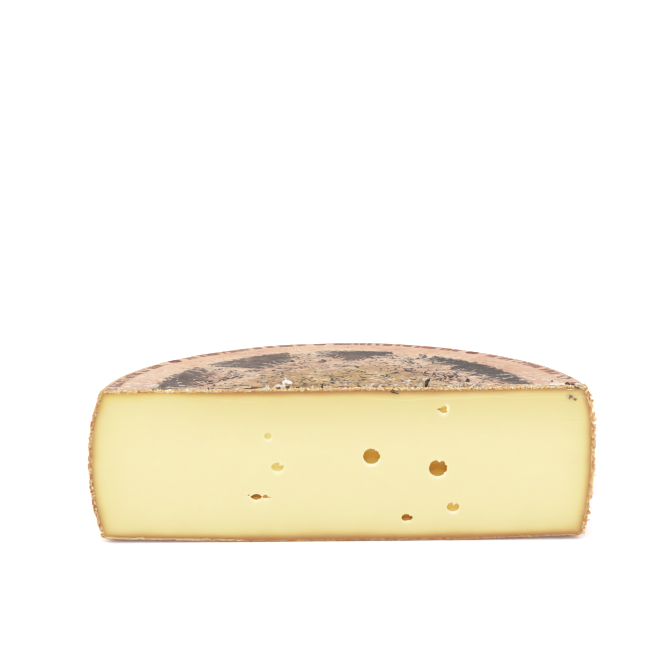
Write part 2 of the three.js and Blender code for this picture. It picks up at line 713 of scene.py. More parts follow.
@dataclass
class SharedEffects:
    """Effects that several finishes use, each built once."""

    specks: Tree
    mottle: Tree
    grain: Tree

    @classmethod
    def build(cls) -> "SharedEffects":
        """Builds every effect and returns them."""
        return cls(cls._specks(), cls._mottle(), cls._grain())

    @staticmethod
    def _specks() -> Tree:
        """Small scattered specks: Size in millimetres, Amount 0 to 1.

        Returns:
            The effect.
        """
        sketch, amount, mask = new_effect("specks", "Amount", "Mask")
        cells = sketch.voronoi(1.0)
        chance = sketch.parts(cells.outputs["Color"])[0]
        chosen = sketch.math("LESS_THAN", chance, amount)
        reach = sketch.scaled(chance, 0.3, 0.22)
        round_spot = sketch.less(reach, cells.outputs["Distance"])
        spot = sketch.span(round_spot, 0.0, 0.16)
        sketch.feed(mask, {0: sketch.times(spot, chosen)})
        return sketch.tree

    @staticmethod
    def _mottle() -> Tree:
        """Cloudy patches: Size in millimetres, Hardness 0 soft to 1 hard-edged.

        Returns:
            The effect.
        """
        sketch, hardness, mask = new_effect("mottle", "Hardness", "Mask")
        cloud = sketch.noise(1.0, 4.0, 0.62)
        half_width = sketch.scaled(hardness, -0.2, 0.23)
        patches = sketch.span(cloud, sketch.less(0.5, half_width), sketch.plus(0.5, half_width))
        sketch.feed(mask, {0: patches})
        return sketch.tree

    @staticmethod
    def _grain() -> Tree:
        """Leathery grain as a height: Size in millimetres, Pores 0 to 1.

        Returns:
            The effect.
        """
        sketch, pores, height = new_effect("grain", "Pores", "Height")
        pebbles = sketch.noise(1.0, 3.0, 0.6)
        cells = sketch.voronoi(1.4, "SMOOTH_F1")
        pits = sketch.span(cells.outputs["Distance"], 0.05, 0.4, -1.0, 0.0)
        sketch.feed(height, {0: sketch.plus(pebbles, sketch.times(pits, pores))})
        return sketch.tree


# ---- Finishes ----


class Finish:
    """A finish whose colours are given as they look under the studio's light.

    The light says how brightly the studio lights the surface, where 1 leaves white white.
    """

    light: float

    def seen(self, red: int, green: int, blue: int) -> Tint:
        """Base colour of a surface that looks like the given screen colour."""
        return (*(channel / self.light for channel in srgb(red, green, blue)[:3]), 1.0)

    def shades(self, stops: Sequence[Stop], reach: float = 1.0) -> list[tuple[float, Tint]]:
        """Stops of a ramp as base colours, at shares of the ramp's reach."""
        return [(at / reach, self.seen(*tone)) for at, tone in stops]


@dataclass(frozen=True)
class PasteFinish(Finish):
    """Smooth ivory paste that browns towards the rind, with painted shade deepening to amber inside its
    eyes.
    """

    light: float = 1.38
    ramp_reach: float = 24.0
    roughness: float = 0.42

    def material(self, form: WheelForm, effects: SharedEffects) -> Material:
        """Builds the material.

        Args:
            form: Places the pattern on the wheel.
            effects: The shared effects.

        Returns:
            The finished material.
        """
        material, sketch, shader = new_material("paste", form, effects)
        depth = self._uneven_depth(sketch)
        colour = self._browning(sketch, depth)
        across, _, height = sketch.parts(sketch.place)
        warm = sketch.times(
            sketch.span(height, form.top - 15.0, form.top - 6.0),
            sketch.span(depth, 2.0, 9.0, 1.0, 0.0),
            sketch.span(across, -130.0, -30.0, 1.0, 0.0),
        )
        colour = sketch.mix(warm, colour, (1.0, 0.97, 0.76, 1.0), "MULTIPLY")
        # Painted shade: the paste is darkened towards the top, less so on the far left.
        top_shade = sketch.span(height, form.top - 38.0, form.top, 0.0, 0.6)
        top_shade = sketch.times(top_shade, sketch.span(across, -135.0, -50.0, 0.3, 1.0))
        colour = sketch.mix(top_shade, colour, self.seen(234, 216, 146), "DARKEN")
        colour = self._eyes(sketch, self._rim(sketch, colour))
        streaks = self._streaks(sketch)
        shine = sketch.span(streaks, 0.56, 0.8, 0.0, 0.35)
        colour = sketch.mix(shine, colour, self.seen(250, 243, 205))
        colour = sketch.mix(self._skip_line(sketch, form), colour, self.seen(249, 242, 200))
        waxy = {
            "Base Color": colour,
            "Roughness": self._roughness(sketch, streaks),
            "Normal": self._relief(sketch, streaks),
            "Subsurface Weight": 0.35,
            "Subsurface Radius": (1.0, 0.55, 0.18),
            "Subsurface Scale": 0.004,
            "Specular IOR Level": 0.25,
        }
        sketch.feed(shader, waxy)
        return material

    @staticmethod
    def _uneven_depth(sketch: Sketch) -> Socket:
        """Depth under the rind, with the browning reaching in more at some places.

        Args:
            sketch: The material's sketch.

        Returns:
            Place on the browning scale.
        """
        depth = sketch.value_of("rind_depth")
        broad = sketch.noise(0.035, 2.0)
        fine = sketch.noise(0.9, 3.0)
        stretched = sketch.times(depth, sketch.span(broad, 0.3, 0.7, 0.88, 1.16))
        return sketch.plus(stretched, sketch.scaled(fine, 0.7, -0.35))

    def _browning(self, sketch: Sketch, depth: Feed) -> Socket:
        """The paste's colour from the rind inwards.

        Args:
            sketch: The material's sketch.
            depth: Place on the browning scale.

        Returns:
            The colour.
        """
        stops = (
            (0.0, (186, 134, 80)),
            (0.6, (196, 145, 90)),
            (1.2, (206, 158, 100)),
            (1.8, (214, 172, 108)),
            (2.4, (222, 186, 117)),
            (3.0, (228, 199, 128)),
            (3.7, (233, 209, 140)),
            (4.4, (236, 217, 150)),
            (5.6, (239, 225, 162)),
            (7.2, (241, 229, 170)),
            (10.0, (243, 232, 176)),
            (17.0, (245, 235, 183)),
            (24.0, (246, 236, 186)),
        )
        share = sketch.math("DIVIDE", depth, self.ramp_reach, clamp=True)
        return sketch.ramp(share, self.shades(stops, self.ramp_reach))

    def _rim(self, sketch: Sketch, colour: Feed) -> Socket:
        """Torn crumbly rind at the very rim: cream and orange crumbs, redder underneath.

        Args:
            sketch: The material's sketch.
            colour: The colour so far.

        Returns:
            The new colour.
        """
        crumb = sketch.value_of("crumb")
        cells = sketch.voronoi(1.1)
        chance = sketch.parts(cells.outputs["Color"])[0]
        fine = sketch.noise(2.0, 2.0, 0.7)
        tone = sketch.scaled(chance, 0.85, sketch.scaled(crumb, 0.25, -0.22))
        tone = sketch.scaled(fine, 0.4, tone)
        stops = (
            (0.12, (178, 104, 54)),
            (0.3, (222, 150, 84)),
            (0.45, (242, 184, 112)),
            (0.6, (252, 216, 146)),
            (0.76, (255, 238, 184)),
            (0.95, (255, 252, 224)),
        )
        crumbs = sketch.ramp(tone, self.shades(stops))
        across, _, height = sketch.parts(sketch.place)
        low = sketch.times(sketch.span(height, 2.4, 5.0, 0.6, 0.0), sketch.span(across, -92.0, -60.0))
        crumbs = sketch.mix(low, crumbs, self.seen(190, 116, 74))
        ragged = sketch.scaled(sketch.noise(0.9, 3.0, 0.7), 0.9, sketch.less(crumb, 0.45))
        return sketch.mix(sketch.span(ragged, 0.1, 0.38), colour, crumbs)

    def _eyes(self, sketch: Sketch, colour: Feed) -> Socket:
        """Painted shade inside the eyes, deepening to amber further in, and pale broken curd on their
        lips with a painted highlight on the lower lips.

        Args:
            sketch: The material's sketch.
            colour: The colour so far.

        Returns:
            The new colour.
        """
        stops = (
            (0.0, (247, 238, 186)),
            (0.2, (246, 224, 134)),
            (0.5, (246, 198, 88)),
            (0.8, (241, 174, 46)),
            (1.0, (208, 134, 14)),
        )
        # Painted shade: the deeper a point lies inside an eye, the more its paste turns amber.
        hollow = sketch.value_of("hollow")
        amber_shade = sketch.ramp(hollow, self.shades(stops))
        coloured = sketch.mix(sketch.span(hollow, 0.0, 0.2), colour, amber_shade)
        # Pale curd on the lips, stronger on the lower lips as a painted highlight.
        return sketch.mix(sketch.value_of("lip"), coloured, self.seen(255, 252, 228))

    @staticmethod
    def _streaks(sketch: Sketch) -> Socket:
        """Faint drag marks of the knife, nearly level, with broad slanting sheens.

        Args:
            sketch: The material's sketch.

        Returns:
            Their strength, about 0 to 1.
        """
        fine = sketch.noise(1.0, 3.0, 0.6, sketch.stretched((0.012, 0.02, 0.55), 3.0))
        broad = sketch.noise(1.0, 1.0, at=sketch.stretched((0.008, 0.02, 0.05), 28.0))
        return sketch.scaled(broad, 0.5, sketch.times(fine, 0.5))

    @staticmethod
    def _skip_line(sketch: Sketch, form: WheelForm) -> Socket:
        """A faint pale line under the upper rind, where the knife skipped.

        Args:
            sketch: The material's sketch.
            form: The wheel's form.

        Returns:
            Mask of the line.
        """
        across, _, height = sketch.parts(sketch.place)
        wave = sketch.times(sketch.noise(0.018, 2.0), 9.0)
        off = sketch.apart(sketch.plus(height, wave), form.top - 2.6)
        breaks = sketch.span(sketch.noise(0.03, 2.0), 0.5, 0.6, 0.0, 0.22)
        breaks = sketch.times(breaks, sketch.span(across, -104.0, -80.0))
        return sketch.times(sketch.span(off, 0.1, 0.7, 1.0, 0.0), breaks)

    def _roughness(self, sketch: Sketch, streaks: Feed) -> Socket:
        """Waxy paste, drier and duller at the rim."""
        dry = sketch.span(sketch.value_of("crumb"), 0.0, 0.4, 0.0, 0.35)
        return sketch.plus(sketch.scaled(streaks, 0.16, self.roughness - 0.08), dry)

    @staticmethod
    def _relief(sketch: Sketch, streaks: Feed) -> Socket:
        """Drag marks and fine curd texture, and crumbs at the rim.

        Args:
            sketch: The material's sketch.
            streaks: The knife's drag marks.

        Returns:
            Normal for the shader.
        """
        curd = sketch.noise(1.1, 3.0)
        first = sketch.bump(curd, 0.12, 0.0003)
        second = sketch.bump(streaks, 0.25, 0.0006, first)
        crumbs = sketch.grain(0.7, 0.4)
        at_rim = sketch.times(crumbs, sketch.span(sketch.value_of("crumb"), 0.0, 0.5))
        return sketch.bump(at_rim, 0.9, 0.0006, second)


@dataclass(frozen=True)
class RindFinish:
    """Leathery washed rind: terracotta, mottled and finely speckled."""

    roughness: float = 0.62

    def material(self, form: WheelForm, effects: SharedEffects) -> Material:
        """Builds the material.

        Args:
            form: Places the pattern on the wheel.
            effects: The shared effects.

        Returns:
            The finished material.
        """
        material, sketch, shader = new_material("washed_rind", form, effects)
        patches = sketch.mottle(26.0, 0.25)
        blotches = sketch.mottle(7.0, 0.3)
        colour = sketch.mix(patches, srgb(174, 104, 60), srgb(198, 132, 84))
        colour = sketch.mix(sketch.times(blotches, 0.45), colour, srgb(160, 92, 54))
        grain = sketch.grain(0.9, 0.7)
        colour = sketch.mix(sketch.span(grain, 0.0, 0.35, 0.55, 0.0), colour, srgb(128, 68, 40))
        pale = sketch.specks(1.1, 0.5)
        colour = sketch.mix(sketch.times(pale, 0.5), colour, srgb(232, 184, 150))
        dust = sketch.specks(2.6, 0.16)
        colour = sketch.mix(sketch.times(dust, 0.55), colour, srgb(240, 214, 186))
        colour = self._edges(sketch, colour, form)
        dull = sketch.scaled(blotches, 0.12, self.roughness)
        wrinkles = sketch.noise(0.28, 4.0, 0.6)
        broad = sketch.bump(wrinkles, 0.6, 0.0012)
        leathery = {
            "Base Color": colour,
            "Roughness": sketch.less(dull, sketch.times(patches, 0.08)),
            "Normal": sketch.bump(grain, 0.7, 0.0004, broad),
            "Specular IOR Level": 0.4,
        }
        sketch.feed(shader, leathery)
        return material

    @staticmethod
    def _edges(sketch: Sketch, colour: Feed, form: WheelForm) -> Socket:
        """An ochre band and a pale crease under the label's rim, and a darker foot.

        Args:
            sketch: The material's sketch.
            colour: The colour so far.
            form: The wheel's form.

        Returns:
            The new colour.
        """
        wander = sketch.scaled(sketch.noise(0.09, 3.0), 5.0, -2.5)
        level = sketch.plus(sketch.parts(sketch.place)[2], wander)
        ochre = sketch.span(level, form.top - 6.0, form.top - 1.5, 0.0, 0.6)
        colour = sketch.mix(ochre, colour, srgb(222, 184, 130))
        from_crease = sketch.apart(level, form.top - 4.2)
        crease = sketch.span(from_crease, 0.15, 0.6, 0.6, 0.0)
        colour = sketch.mix(crease, colour, srgb(240, 212, 178))
        foot = sketch.span(level, 0.0, 14.0, 0.45, 0.0)
        return sketch.mix(foot, colour, srgb(140, 82, 50))


@dataclass(frozen=True)
class LabelPrint:
    """A generic print for the label, laid out in rings. Radii in millimetres, angles in degrees."""

    centre_spot: float = 5.2
    ochre_end: float = 60.0
    band_end: float = 111.5
    patches: tuple[tuple[float, float, float], ...] = (
        (30.0, 31.0, 29.0),
        (84.0, 15.0, 32.0),
        (125.0, 17.0, 38.0),
        (164.0, 17.5, 29.0),
    )
    tuft_reach: float = 24.0
    cells_start: float = 112.5
    cells_end: float = 118.5
    ticks_start: float = 121.0
    ticks_end: float = 126.5
    bars_start: float = 132.9
    bars_end: float = 139.3
    dot_ring: float = 136.9
    dot_radius: float = 4.6
    dot_angles: tuple[float, ...] = (1.8, 9.6, 48.0, 95.5, 143.5)


@dataclass(frozen=True)
class LabelFinish(Finish):
    """Thin matt paper, grown onto the rind, printed in ink and dark red."""

    design: LabelPrint = field(default_factory=LabelPrint)
    light: float = 1.5
    roughness: float = 0.76

    def material(self, form: WheelForm, effects: SharedEffects) -> Material:
        """Builds the material.

        Args:
            form: Places the print on the wheel.
            effects: The shared effects.

        Returns:
            The finished material.
        """
        material, sketch, shader = new_material("label_paper", form, effects)
        x, y, _ = sketch.parts(self._warped(sketch))
        radius = sketch.math("SQRT", sketch.plus(sketch.times(x, x), sketch.times(y, y)))
        angle = sketch.math("DEGREES", sketch.math("ARCTAN2", y, x))
        colour = self._ground(sketch, radius)
        colour = self._ink(sketch, radius, angle, colour)
        colour = self._band(sketch, radius, angle, colour)
        colour = self._cells(sketch, radius, angle, colour)
        colour = self._red(sketch, sketch.joined(x, y, 0.0), radius, angle, colour)
        colour = self._wear(sketch, radius, colour)
        worn = sketch.mottle(9.0, 0.2)
        fibres = sketch.grain(0.6, 0.5)
        creased = sketch.bump(sketch.noise(0.22, 3.0, 0.6), 0.5, 0.001)
        papery = {
            "Base Color": colour,
            "Roughness": sketch.scaled(worn, 0.15, self.roughness - 0.07),
            "Normal": sketch.bump(fibres, 0.5, 0.0003, creased),
            "Specular IOR Level": 0.25,
        }
        sketch.feed(shader, papery)
        return material

    @staticmethod
    def _warped(sketch: Sketch) -> Socket:
        """Places pushed about a little, so that printed edges aren't ruler-straight.

        Args:
            sketch: The material's sketch.

        Returns:
            The pushed place.
        """
        feeds = {"Vector": sketch.place, "Scale": 0.16, "Detail": 3.0}
        wobble = sketch.node("ShaderNodeTexNoise", feeds).outputs["Color"]
        centred = sketch.vector("SUBTRACT", {0: wobble, 1: (0.5, 0.5, 0.5)})
        push = sketch.vector("SCALE", {0: centred, "Scale": 2.4})
        return sketch.vector("ADD", {0: sketch.place, 1: push})

    def _ground(self, sketch: Sketch, radius: Feed) -> Socket:
        """Salmon paper, cream in places, and ochre towards the middle.

        Args:
            sketch: The material's sketch.
            radius: Distance from the wheel's axis.

        Returns:
            The colour.
        """
        clouds = sketch.mottle(24.0, 0.15)
        broad = sketch.mottle(70.0, 0.3)
        salmon = sketch.mix(clouds, self.seen(226, 174, 148), self.seen(242, 206, 178))
        salmon = sketch.mix(sketch.times(broad, 0.65), salmon, self.seen(250, 222, 190))
        ochre = sketch.mix(clouds, self.seen(204, 160, 104), self.seen(230, 194, 138))
        inner = sketch.plus(radius, sketch.times(sketch.noise(0.06, 2.0), 40.0))
        share = sketch.span(inner, self.design.ochre_end, self.design.ochre_end + 34.0, 1.0, 0.0)
        return sketch.mix(share, salmon, ochre)

    def _band(self, sketch: Sketch, radius: Feed, angle: Feed, colour: Feed) -> Socket:
        """Dark arched patches of a broken ring, darker to the right partly with painted shadow, with
        tufts of paper reaching into them.

        Args:
            sketch: The material's sketch.
            radius: Distance from the wheel's axis.
            angle: Angle round the axis, in degrees.
            colour: The colour so far.

        Returns:
            The new colour.
        """
        wander = sketch.scaled(sketch.noise(0.07, 4.0, 0.65), 10.0, -5.0)
        turned = sketch.plus(angle, wander)
        arches = []
        for centre, half, depth in self.design.patches:
            off = sketch.times(sketch.less(turned, centre), 1.0 / half)
            rest = sketch.highest(sketch.less(1.0, sketch.times(off, off)), 0.0)
            arches.append(sketch.times(sketch.math("SQRT", rest), depth))
        inner = sketch.less(self.design.band_end, sketch.highest(*arches))
        inner = sketch.plus(inner, self._tufts(sketch, radius, angle))
        ragged = sketch.scaled(sketch.noise(0.42, 4.0, 0.8), 22.0, -11.0)
        reach = sketch.plus(radius, ragged)
        rising = sketch.span(sketch.less(reach, inner), -0.4, 0.4)
        band_end = self.design.band_end
        falling = sketch.span(reach, band_end - 0.5, band_end + 0.5, 1.0, 0.0)
        cloud = sketch.mottle(14.0, 0.3)
        dark = sketch.mix(cloud, self.seen(100, 88, 84), self.seen(134, 116, 106))
        # Darker towards the right: partly the ink's own darker grey, partly painted shadow.
        darker_right = sketch.span(sketch.parts(sketch.place)[0], -20.0, 60.0, 0.0, 0.75)
        dark = sketch.mix(darker_right, dark, self.seen(80, 76, 77))
        mould = sketch.specks(1.6, 0.3)
        dark = sketch.mix(sketch.times(mould, 0.35), dark, self.seen(196, 190, 186))
        return sketch.mix(sketch.times(rising, falling), colour, dark)

    def _tufts(self, sketch: Sketch, radius: Feed, angle: Feed) -> Socket:
        """Reach of pointed strokes of bare paper into the dark patches, in millimetres.

        Args:
            sketch: The material's sketch.
            radius: Distance from the wheel's axis.
            angle: Angle round the axis, in degrees.

        Returns:
            The strokes' reach.
        """
        bend = sketch.times(sketch.noise(0.045, 1.0), 12.0)
        along = sketch.plus(sketch.times(angle, 0.62), bend)
        blades = sketch.noise(1.0, 2.5, 0.75, sketch.joined(along, sketch.times(radius, 0.02), 0.0))
        return sketch.span(blades, 0.44, 0.74, 0.0, self.design.tuft_reach)

    def _ink(self, sketch: Sketch, radius: Feed, angle: Feed, colour: Feed) -> Socket:
        """Broken engraved lines over the middle, like hatching, with washes between them.

        Args:
            sketch: The material's sketch.
            radius: Distance from the wheel's axis.
            angle: Angle round the axis, in degrees.
            colour: The colour so far.

        Returns:
            The new colour.
        """
        flow = sketch.noise(0.05, 2.0, 0.5)
        design = self.design
        inner = sketch.between(radius, design.centre_spot + 4.0, design.band_end - 6.0, 5.0)
        wash = sketch.mottle(13.0, 0.35)
        shade = sketch.times(wash, inner, 0.35)
        colour = sketch.mix(shade, colour, self.seen(150, 120, 94))
        off_line = sketch.apart(sketch.math("FRACT", sketch.times(flow, 15.0)), 0.5)
        breaks = sketch.noise(0.12, 3.0, 0.6)
        width = sketch.span(breaks, 0.4, 0.66, -0.1, 0.36)
        contour = sketch.span(sketch.less(width, off_line), 0.0, 0.06)
        turned = sketch.plus(sketch.times(angle, 0.5), sketch.times(flow, 34.0))
        spokes = sketch.noise(1.0, 3.0, 0.65, sketch.joined(turned, sketch.times(radius, 0.07), 3.0))
        strokes = sketch.span(spokes, 0.58, 0.62)
        blots = sketch.span(sketch.noise(0.25, 3.0, 0.6), 0.63, 0.66)
        lines = sketch.highest(contour, strokes, blots)
        colour = sketch.mix(sketch.times(lines, inner), colour, self.seen(66, 58, 56))
        chalk = sketch.span(sketch.noise(0.3, 3.0, 0.6), 0.6, 0.66, 0.0, 0.7)
        return sketch.mix(sketch.times(chalk, inner), colour, self.seen(240, 228, 206))

    def _cells(self, sketch: Sketch, radius: Feed, angle: Feed, colour: Feed) -> Socket:
        """A ring of small outlined cells and a ring of slanting ticks outside it.

        Args:
            sketch: The material's sketch.
            radius: Distance from the wheel's axis.
            angle: Angle round the axis, in degrees.
            colour: The colour so far.

        Returns:
            The new colour.
        """
        design = self.design
        ring = sketch.between(radius, design.cells_start, design.cells_end, 0.35)
        inside = sketch.between(radius, design.cells_start + 0.9, design.cells_end - 0.9, 0.3)
        turn = sketch.math("FRACT", sketch.times(angle, 0.22))
        post = sketch.span(sketch.apart(turn, 0.5), 0.4, 0.43)
        filled = sketch.times(inside, sketch.less(1.0, post))
        outline = sketch.math("SUBTRACT", ring, filled, clamp=True)
        slant = sketch.plus(sketch.times(angle, 0.85), sketch.times(radius, 0.16))
        pulse = sketch.apart(sketch.math("FRACT", slant), 0.5)
        tick = sketch.span(pulse, 0.3, 0.36)
        outside = sketch.between(radius, design.ticks_start, design.ticks_end, 0.4)
        ticks = sketch.times(tick, outside)
        worn = sketch.span(sketch.noise(0.22, 4.0, 0.8), 0.5, 0.62)
        marks = sketch.times(sketch.highest(outline, ticks), worn)
        return sketch.mix(sketch.times(marks, 0.65), colour, self.seen(112, 90, 82))

    def _red(self, sketch: Sketch, flat: Feed, radius: Feed, angle: Feed, colour: Feed) -> Socket:
        """Dark red dots, plain uneven bars between them and the spot in the middle.

        Args:
            sketch: The material's sketch.
            flat: Place on the label.
            radius: Distance from the wheel's axis.
            angle: Angle round the axis, in degrees.
            colour: The colour so far.

        Returns:
            The new colour.
        """
        design = self.design
        dashes = sketch.noise(1.0, 0.0, at=sketch.joined(sketch.times(angle, 0.5), 0.0, 0.0))
        solid = sketch.span(dashes, 0.44, 0.46)
        bars = sketch.times(solid, sketch.between(radius, design.bars_start, design.bars_end, 0.5))
        gaps = []
        for degrees in design.dot_angles:
            turned = math.radians(degrees)
            centre = (design.dot_ring * math.cos(turned), design.dot_ring * math.sin(turned), 0.0)
            gaps.append(sketch.vector("DISTANCE", {0: flat, 1: centre}, output=1))
        near_dot = reduce(partial(sketch.math, "MINIMUM"), gaps)
        clear = sketch.span(near_dot, design.dot_radius + 5.5, design.dot_radius + 6.2)
        dots = sketch.span(near_dot, design.dot_radius - 0.35, design.dot_radius + 0.35, 1.0, 0.0)
        spot = sketch.span(radius, design.centre_spot - 0.5, design.centre_spot + 0.5, 1.0, 0.0)
        flecks = sketch.noise(1.5, 3.0, 0.75)
        patchy = sketch.span(flecks, 0.4, 0.56, 0.35, 1.0)
        bars = sketch.times(bars, clear, patchy)
        whole = sketch.times(sketch.highest(dots, spot), sketch.span(flecks, 0.3, 0.45, 0.6, 1.0))
        return sketch.mix(sketch.highest(bars, whole), colour, self.seen(138, 66, 68))

    def _wear(self, sketch: Sketch, radius: Feed, colour: Feed) -> Socket:
        """Fibre specks, whitish bloom, and a cream rim where the paper ends.

        Args:
            sketch: The material's sketch.
            radius: Distance from the wheel's axis.
            colour: The colour so far.

        Returns:
            The new colour.
        """
        fibre = sketch.noise(0.9, 3.0, 0.7)
        light_fibre = sketch.span(fibre, 0.52, 0.72, 0.0, 0.3)
        colour = sketch.mix(light_fibre, colour, self.seen(252, 228, 204))
        dark_fibre = sketch.span(fibre, 0.28, 0.44, 0.25, 0.0)
        colour = sketch.mix(dark_fibre, colour, self.seen(166, 118, 94))
        bloom = sketch.specks(2.2, 0.15)
        colour = sketch.mix(sketch.times(bloom, 0.5), colour, self.seen(246, 238, 228))
        grime = sketch.specks(3.4, 0.16)
        colour = sketch.mix(sketch.times(grime, 0.55), colour, self.seen(116, 86, 76))
        chalk = sketch.mottle(5.0, 0.9)
        patchy = sketch.span(sketch.noise(0.03, 2.0), 0.56, 0.66, 0.0, 0.35)
        colour = sketch.mix(sketch.times(chalk, patchy), colour, self.seen(234, 216, 202))
        front = sketch.span(sketch.parts(sketch.place)[1], 8.0, 70.0, 1.0, 0.35)
        where = sketch.times(sketch.span(sketch.noise(0.03, 1.0), 0.44, 0.52), front)
        torn = sketch.noise(0.2, 4.0, 0.75)
        scuffed = sketch.times(sketch.span(torn, 0.52, 0.58, 0.0, 0.75), where)
        colour = sketch.mix(scuffed, colour, self.seen(252, 236, 220))
        tear = sketch.span(sketch.apart(torn, 0.525), 0.004, 0.014, 0.6, 0.0)
        colour = sketch.mix(sketch.times(tear, where), colour, self.seen(128, 98, 88))
        rim = sketch.span(radius, 139.2, 140.8, 0.0, 0.5)
        return sketch.mix(rim, colour, self.seen(236, 206, 160))


@dataclass(frozen=True)
class ScrapFinish(Finish):
    """A plain finish whose colour each crumb or flake picks from a short range."""

    name: str
    tones: tuple[Stop, ...]
    roughness: float = 0.75
    light: float = 1.35

    def material(self, form: WheelForm, effects: SharedEffects) -> Material:
        """Builds the material.

        Args:
            form: Places the pattern on the wheel.
            effects: The shared effects.

        Returns:
            The finished material.
        """
        material, sketch, shader = new_material(self.name, form, effects)
        colour = sketch.ramp(sketch.value_of("tone"), self.shades(self.tones))
        fine = sketch.noise(2.4, 3.0, 0.7)
        shade = sketch.span(fine, 0.4, 0.75, 0.0, 0.12)
        colour = sketch.mix(shade, colour, srgb(150, 100, 70), "MULTIPLY")
        dry = {
            "Base Color": colour,
            "Roughness": sketch.scaled(fine, 0.2, self.roughness - 0.1),
            "Normal": sketch.bump(sketch.grain(0.4, 0.3), 0.5, 0.0002),
            "Specular IOR Level": 0.35,
        }
        sketch.feed(shader, dry)
        return material


# ---- The cheese itself ----


@dataclass(frozen=True)
class Notch:
    """A flap of curd that reaches into an eye's rim."""

    angle: float
    depth: float
    half_width: float


@dataclass(frozen=True)
class Eye:
    """An eye in the paste that the knife opened. Sizes in millimetres on the cut face."""

    x: float
    z: float
    width: float
    height: float
    depth: float
    # Strength of the painted amber shade inside the eye.
    amber_shade: float
    undercut: float = 0.0
    pointed: float = 2.0
    three_sided: float = 0.0
    ragged: float = 0.03
    lip: float = 1.0
    crown: float = 0.0
    turn: float = 0.0
    notches: tuple[Notch, ...] = ()
    rim_step: float = 0.33

    def smooth_rim(self, angles: Array) -> Array:
        """The rim without its raggedness, as offsets from the centre.

        Args:
            angles: Angles round the eye's centre, in radians.

        Returns:
            Rows of x and z.
        """
        power = 2.0 / self.pointed
        x = self.width / 2 * np.sign(np.cos(angles)) * np.abs(np.cos(angles)) ** power
        z = self.height / 2 * np.sign(np.sin(angles)) * np.abs(np.sin(angles)) ** power
        swell = 1 + self.three_sided * np.cos(3 * angles)
        turned = math.radians(self.turn)
        across = (x * math.cos(turned) - z * math.sin(turned)) * swell
        up = (x * math.sin(turned) + z * math.cos(turned)) * swell
        return np.column_stack([across, up])

    def bite(self, angles: Array) -> Array:
        """How far the notches reach inwards at each angle, in millimetres.

        Args:
            angles: Angles round the eye's centre, in radians.

        Returns:
            Millimetres for each angle.
        """
        total = np.zeros(len(angles))
        for notch in self.notches:
            off = (np.degrees(angles) - notch.angle + 180.0) % 360.0 - 180.0
            total += notch.depth * np.exp(-((off / notch.half_width) ** 2))
        return total

    def rim(self, seed: int) -> Array:
        """The real rim on the cut face: ragged, with its notches.

        Args:
            seed: Picks the raggedness.

        Returns:
            Rows of x and z.
        """
        around = math.pi * (self.width + self.height) / 2
        count = max(16, round(around / self.rim_step))
        angles = np.linspace(0, 2 * math.pi, count, endpoint=False)
        smooth = self.smooth_rim(angles)
        length = np.linalg.norm(smooth, axis=1)
        ring = np.column_stack([np.cos(angles), np.sin(angles), np.zeros(len(angles))])
        rough = self.ragged * length * (ripple(ring, 0.28, seed) + 0.7 * ripple(ring, 0.12, seed + 1))
        share = np.clip((length + rough - self.bite(angles)) / length, 0.15, None)
        return smooth * share[:, None] + [self.x, self.z]


EYES = (
    Eye(
        16.5, 52.6, 10.0, 9.5, 6.0, 0.74, undercut=0.1, ragged=0.03,
        notches=(
            Notch(80, 0.5, 5), Notch(59, 0.95, 7), Notch(41, 0.6, 5),
            Notch(22, 0.6, 6), Notch(-28, 0.5, 8),
        ),
    ),
    Eye(
        56.0, 45.1, 10.9, 10.2, 6.5, 0.86, undercut=0.12, ragged=0.045, lip=0.85,
        notches=(Notch(82, 1.6, 14), Notch(28, 0.6, 5), Notch(2, 0.6, 5), Notch(-40, 0.8, 6)),
    ),
    Eye(
        58.0, 80.4, 6.6, 4.0, 2.0, 0.5, three_sided=0.26, turn=184.0, lip=1.2,
        notches=(Notch(12, 2.0, 30),),
    ),
    Eye(65.3, 20.8, 7.3, 5.9, 2.2, 0.48, undercut=0.05, notches=(Notch(76, 2.4, 15),)),
    Eye(
        37.8, 14.4, 6.6, 4.4, 3.2, 1.0, undercut=0.15, ragged=0.1, lip=0.7, crown=0.5,
        notches=(Notch(48, 1.0, 14), Notch(-75, 0.6, 14)),
    ),
    Eye(-39.3, 46.4, 7.4, 5.5, 1.8, 0.31, notches=(Notch(48, 1.8, 17),)),
    Eye(-44.7, 65.4, 4.2, 4.3, 1.1, 0.22, lip=0.8),
    Eye(-52.2, 28.1, 6.2, 3.7, 3.0, 1.0, undercut=0.1, pointed=1.9, ragged=0.13, lip=0.9, crown=1.0),
    Eye(-46.7, 28.2, 2.1, 3.7, 1.4, 0.75, three_sided=0.2, turn=90.0, lip=0.8, crown=0.8),
    Eye(-56.6, 29.1, 1.3, 0.9, 0.7, 0.6, lip=0.5),
    Eye(-44.2, 27.7, 1.1, 0.8, 0.5, 0.5, lip=0.3),
    Eye(-86.1, 22.1, 2.4, 2.2, 0.2, 0.1, lip=0.0),
)


@dataclass(frozen=True)
class RimBand:
    """Torn rind along one side of the cut, and how brown the paste behind it is."""

    crumbs: float
    start: float
    pace: float

    def browning(self, gaps: Array, lighter: Array | float = 0.0) -> Array:
        """Places on the browning scale, where 0 is brownest, at distances from the rim."""
        return np.maximum(self.start + lighter + self.pace * np.maximum(gaps - self.crumbs, 0.0), 0.05)


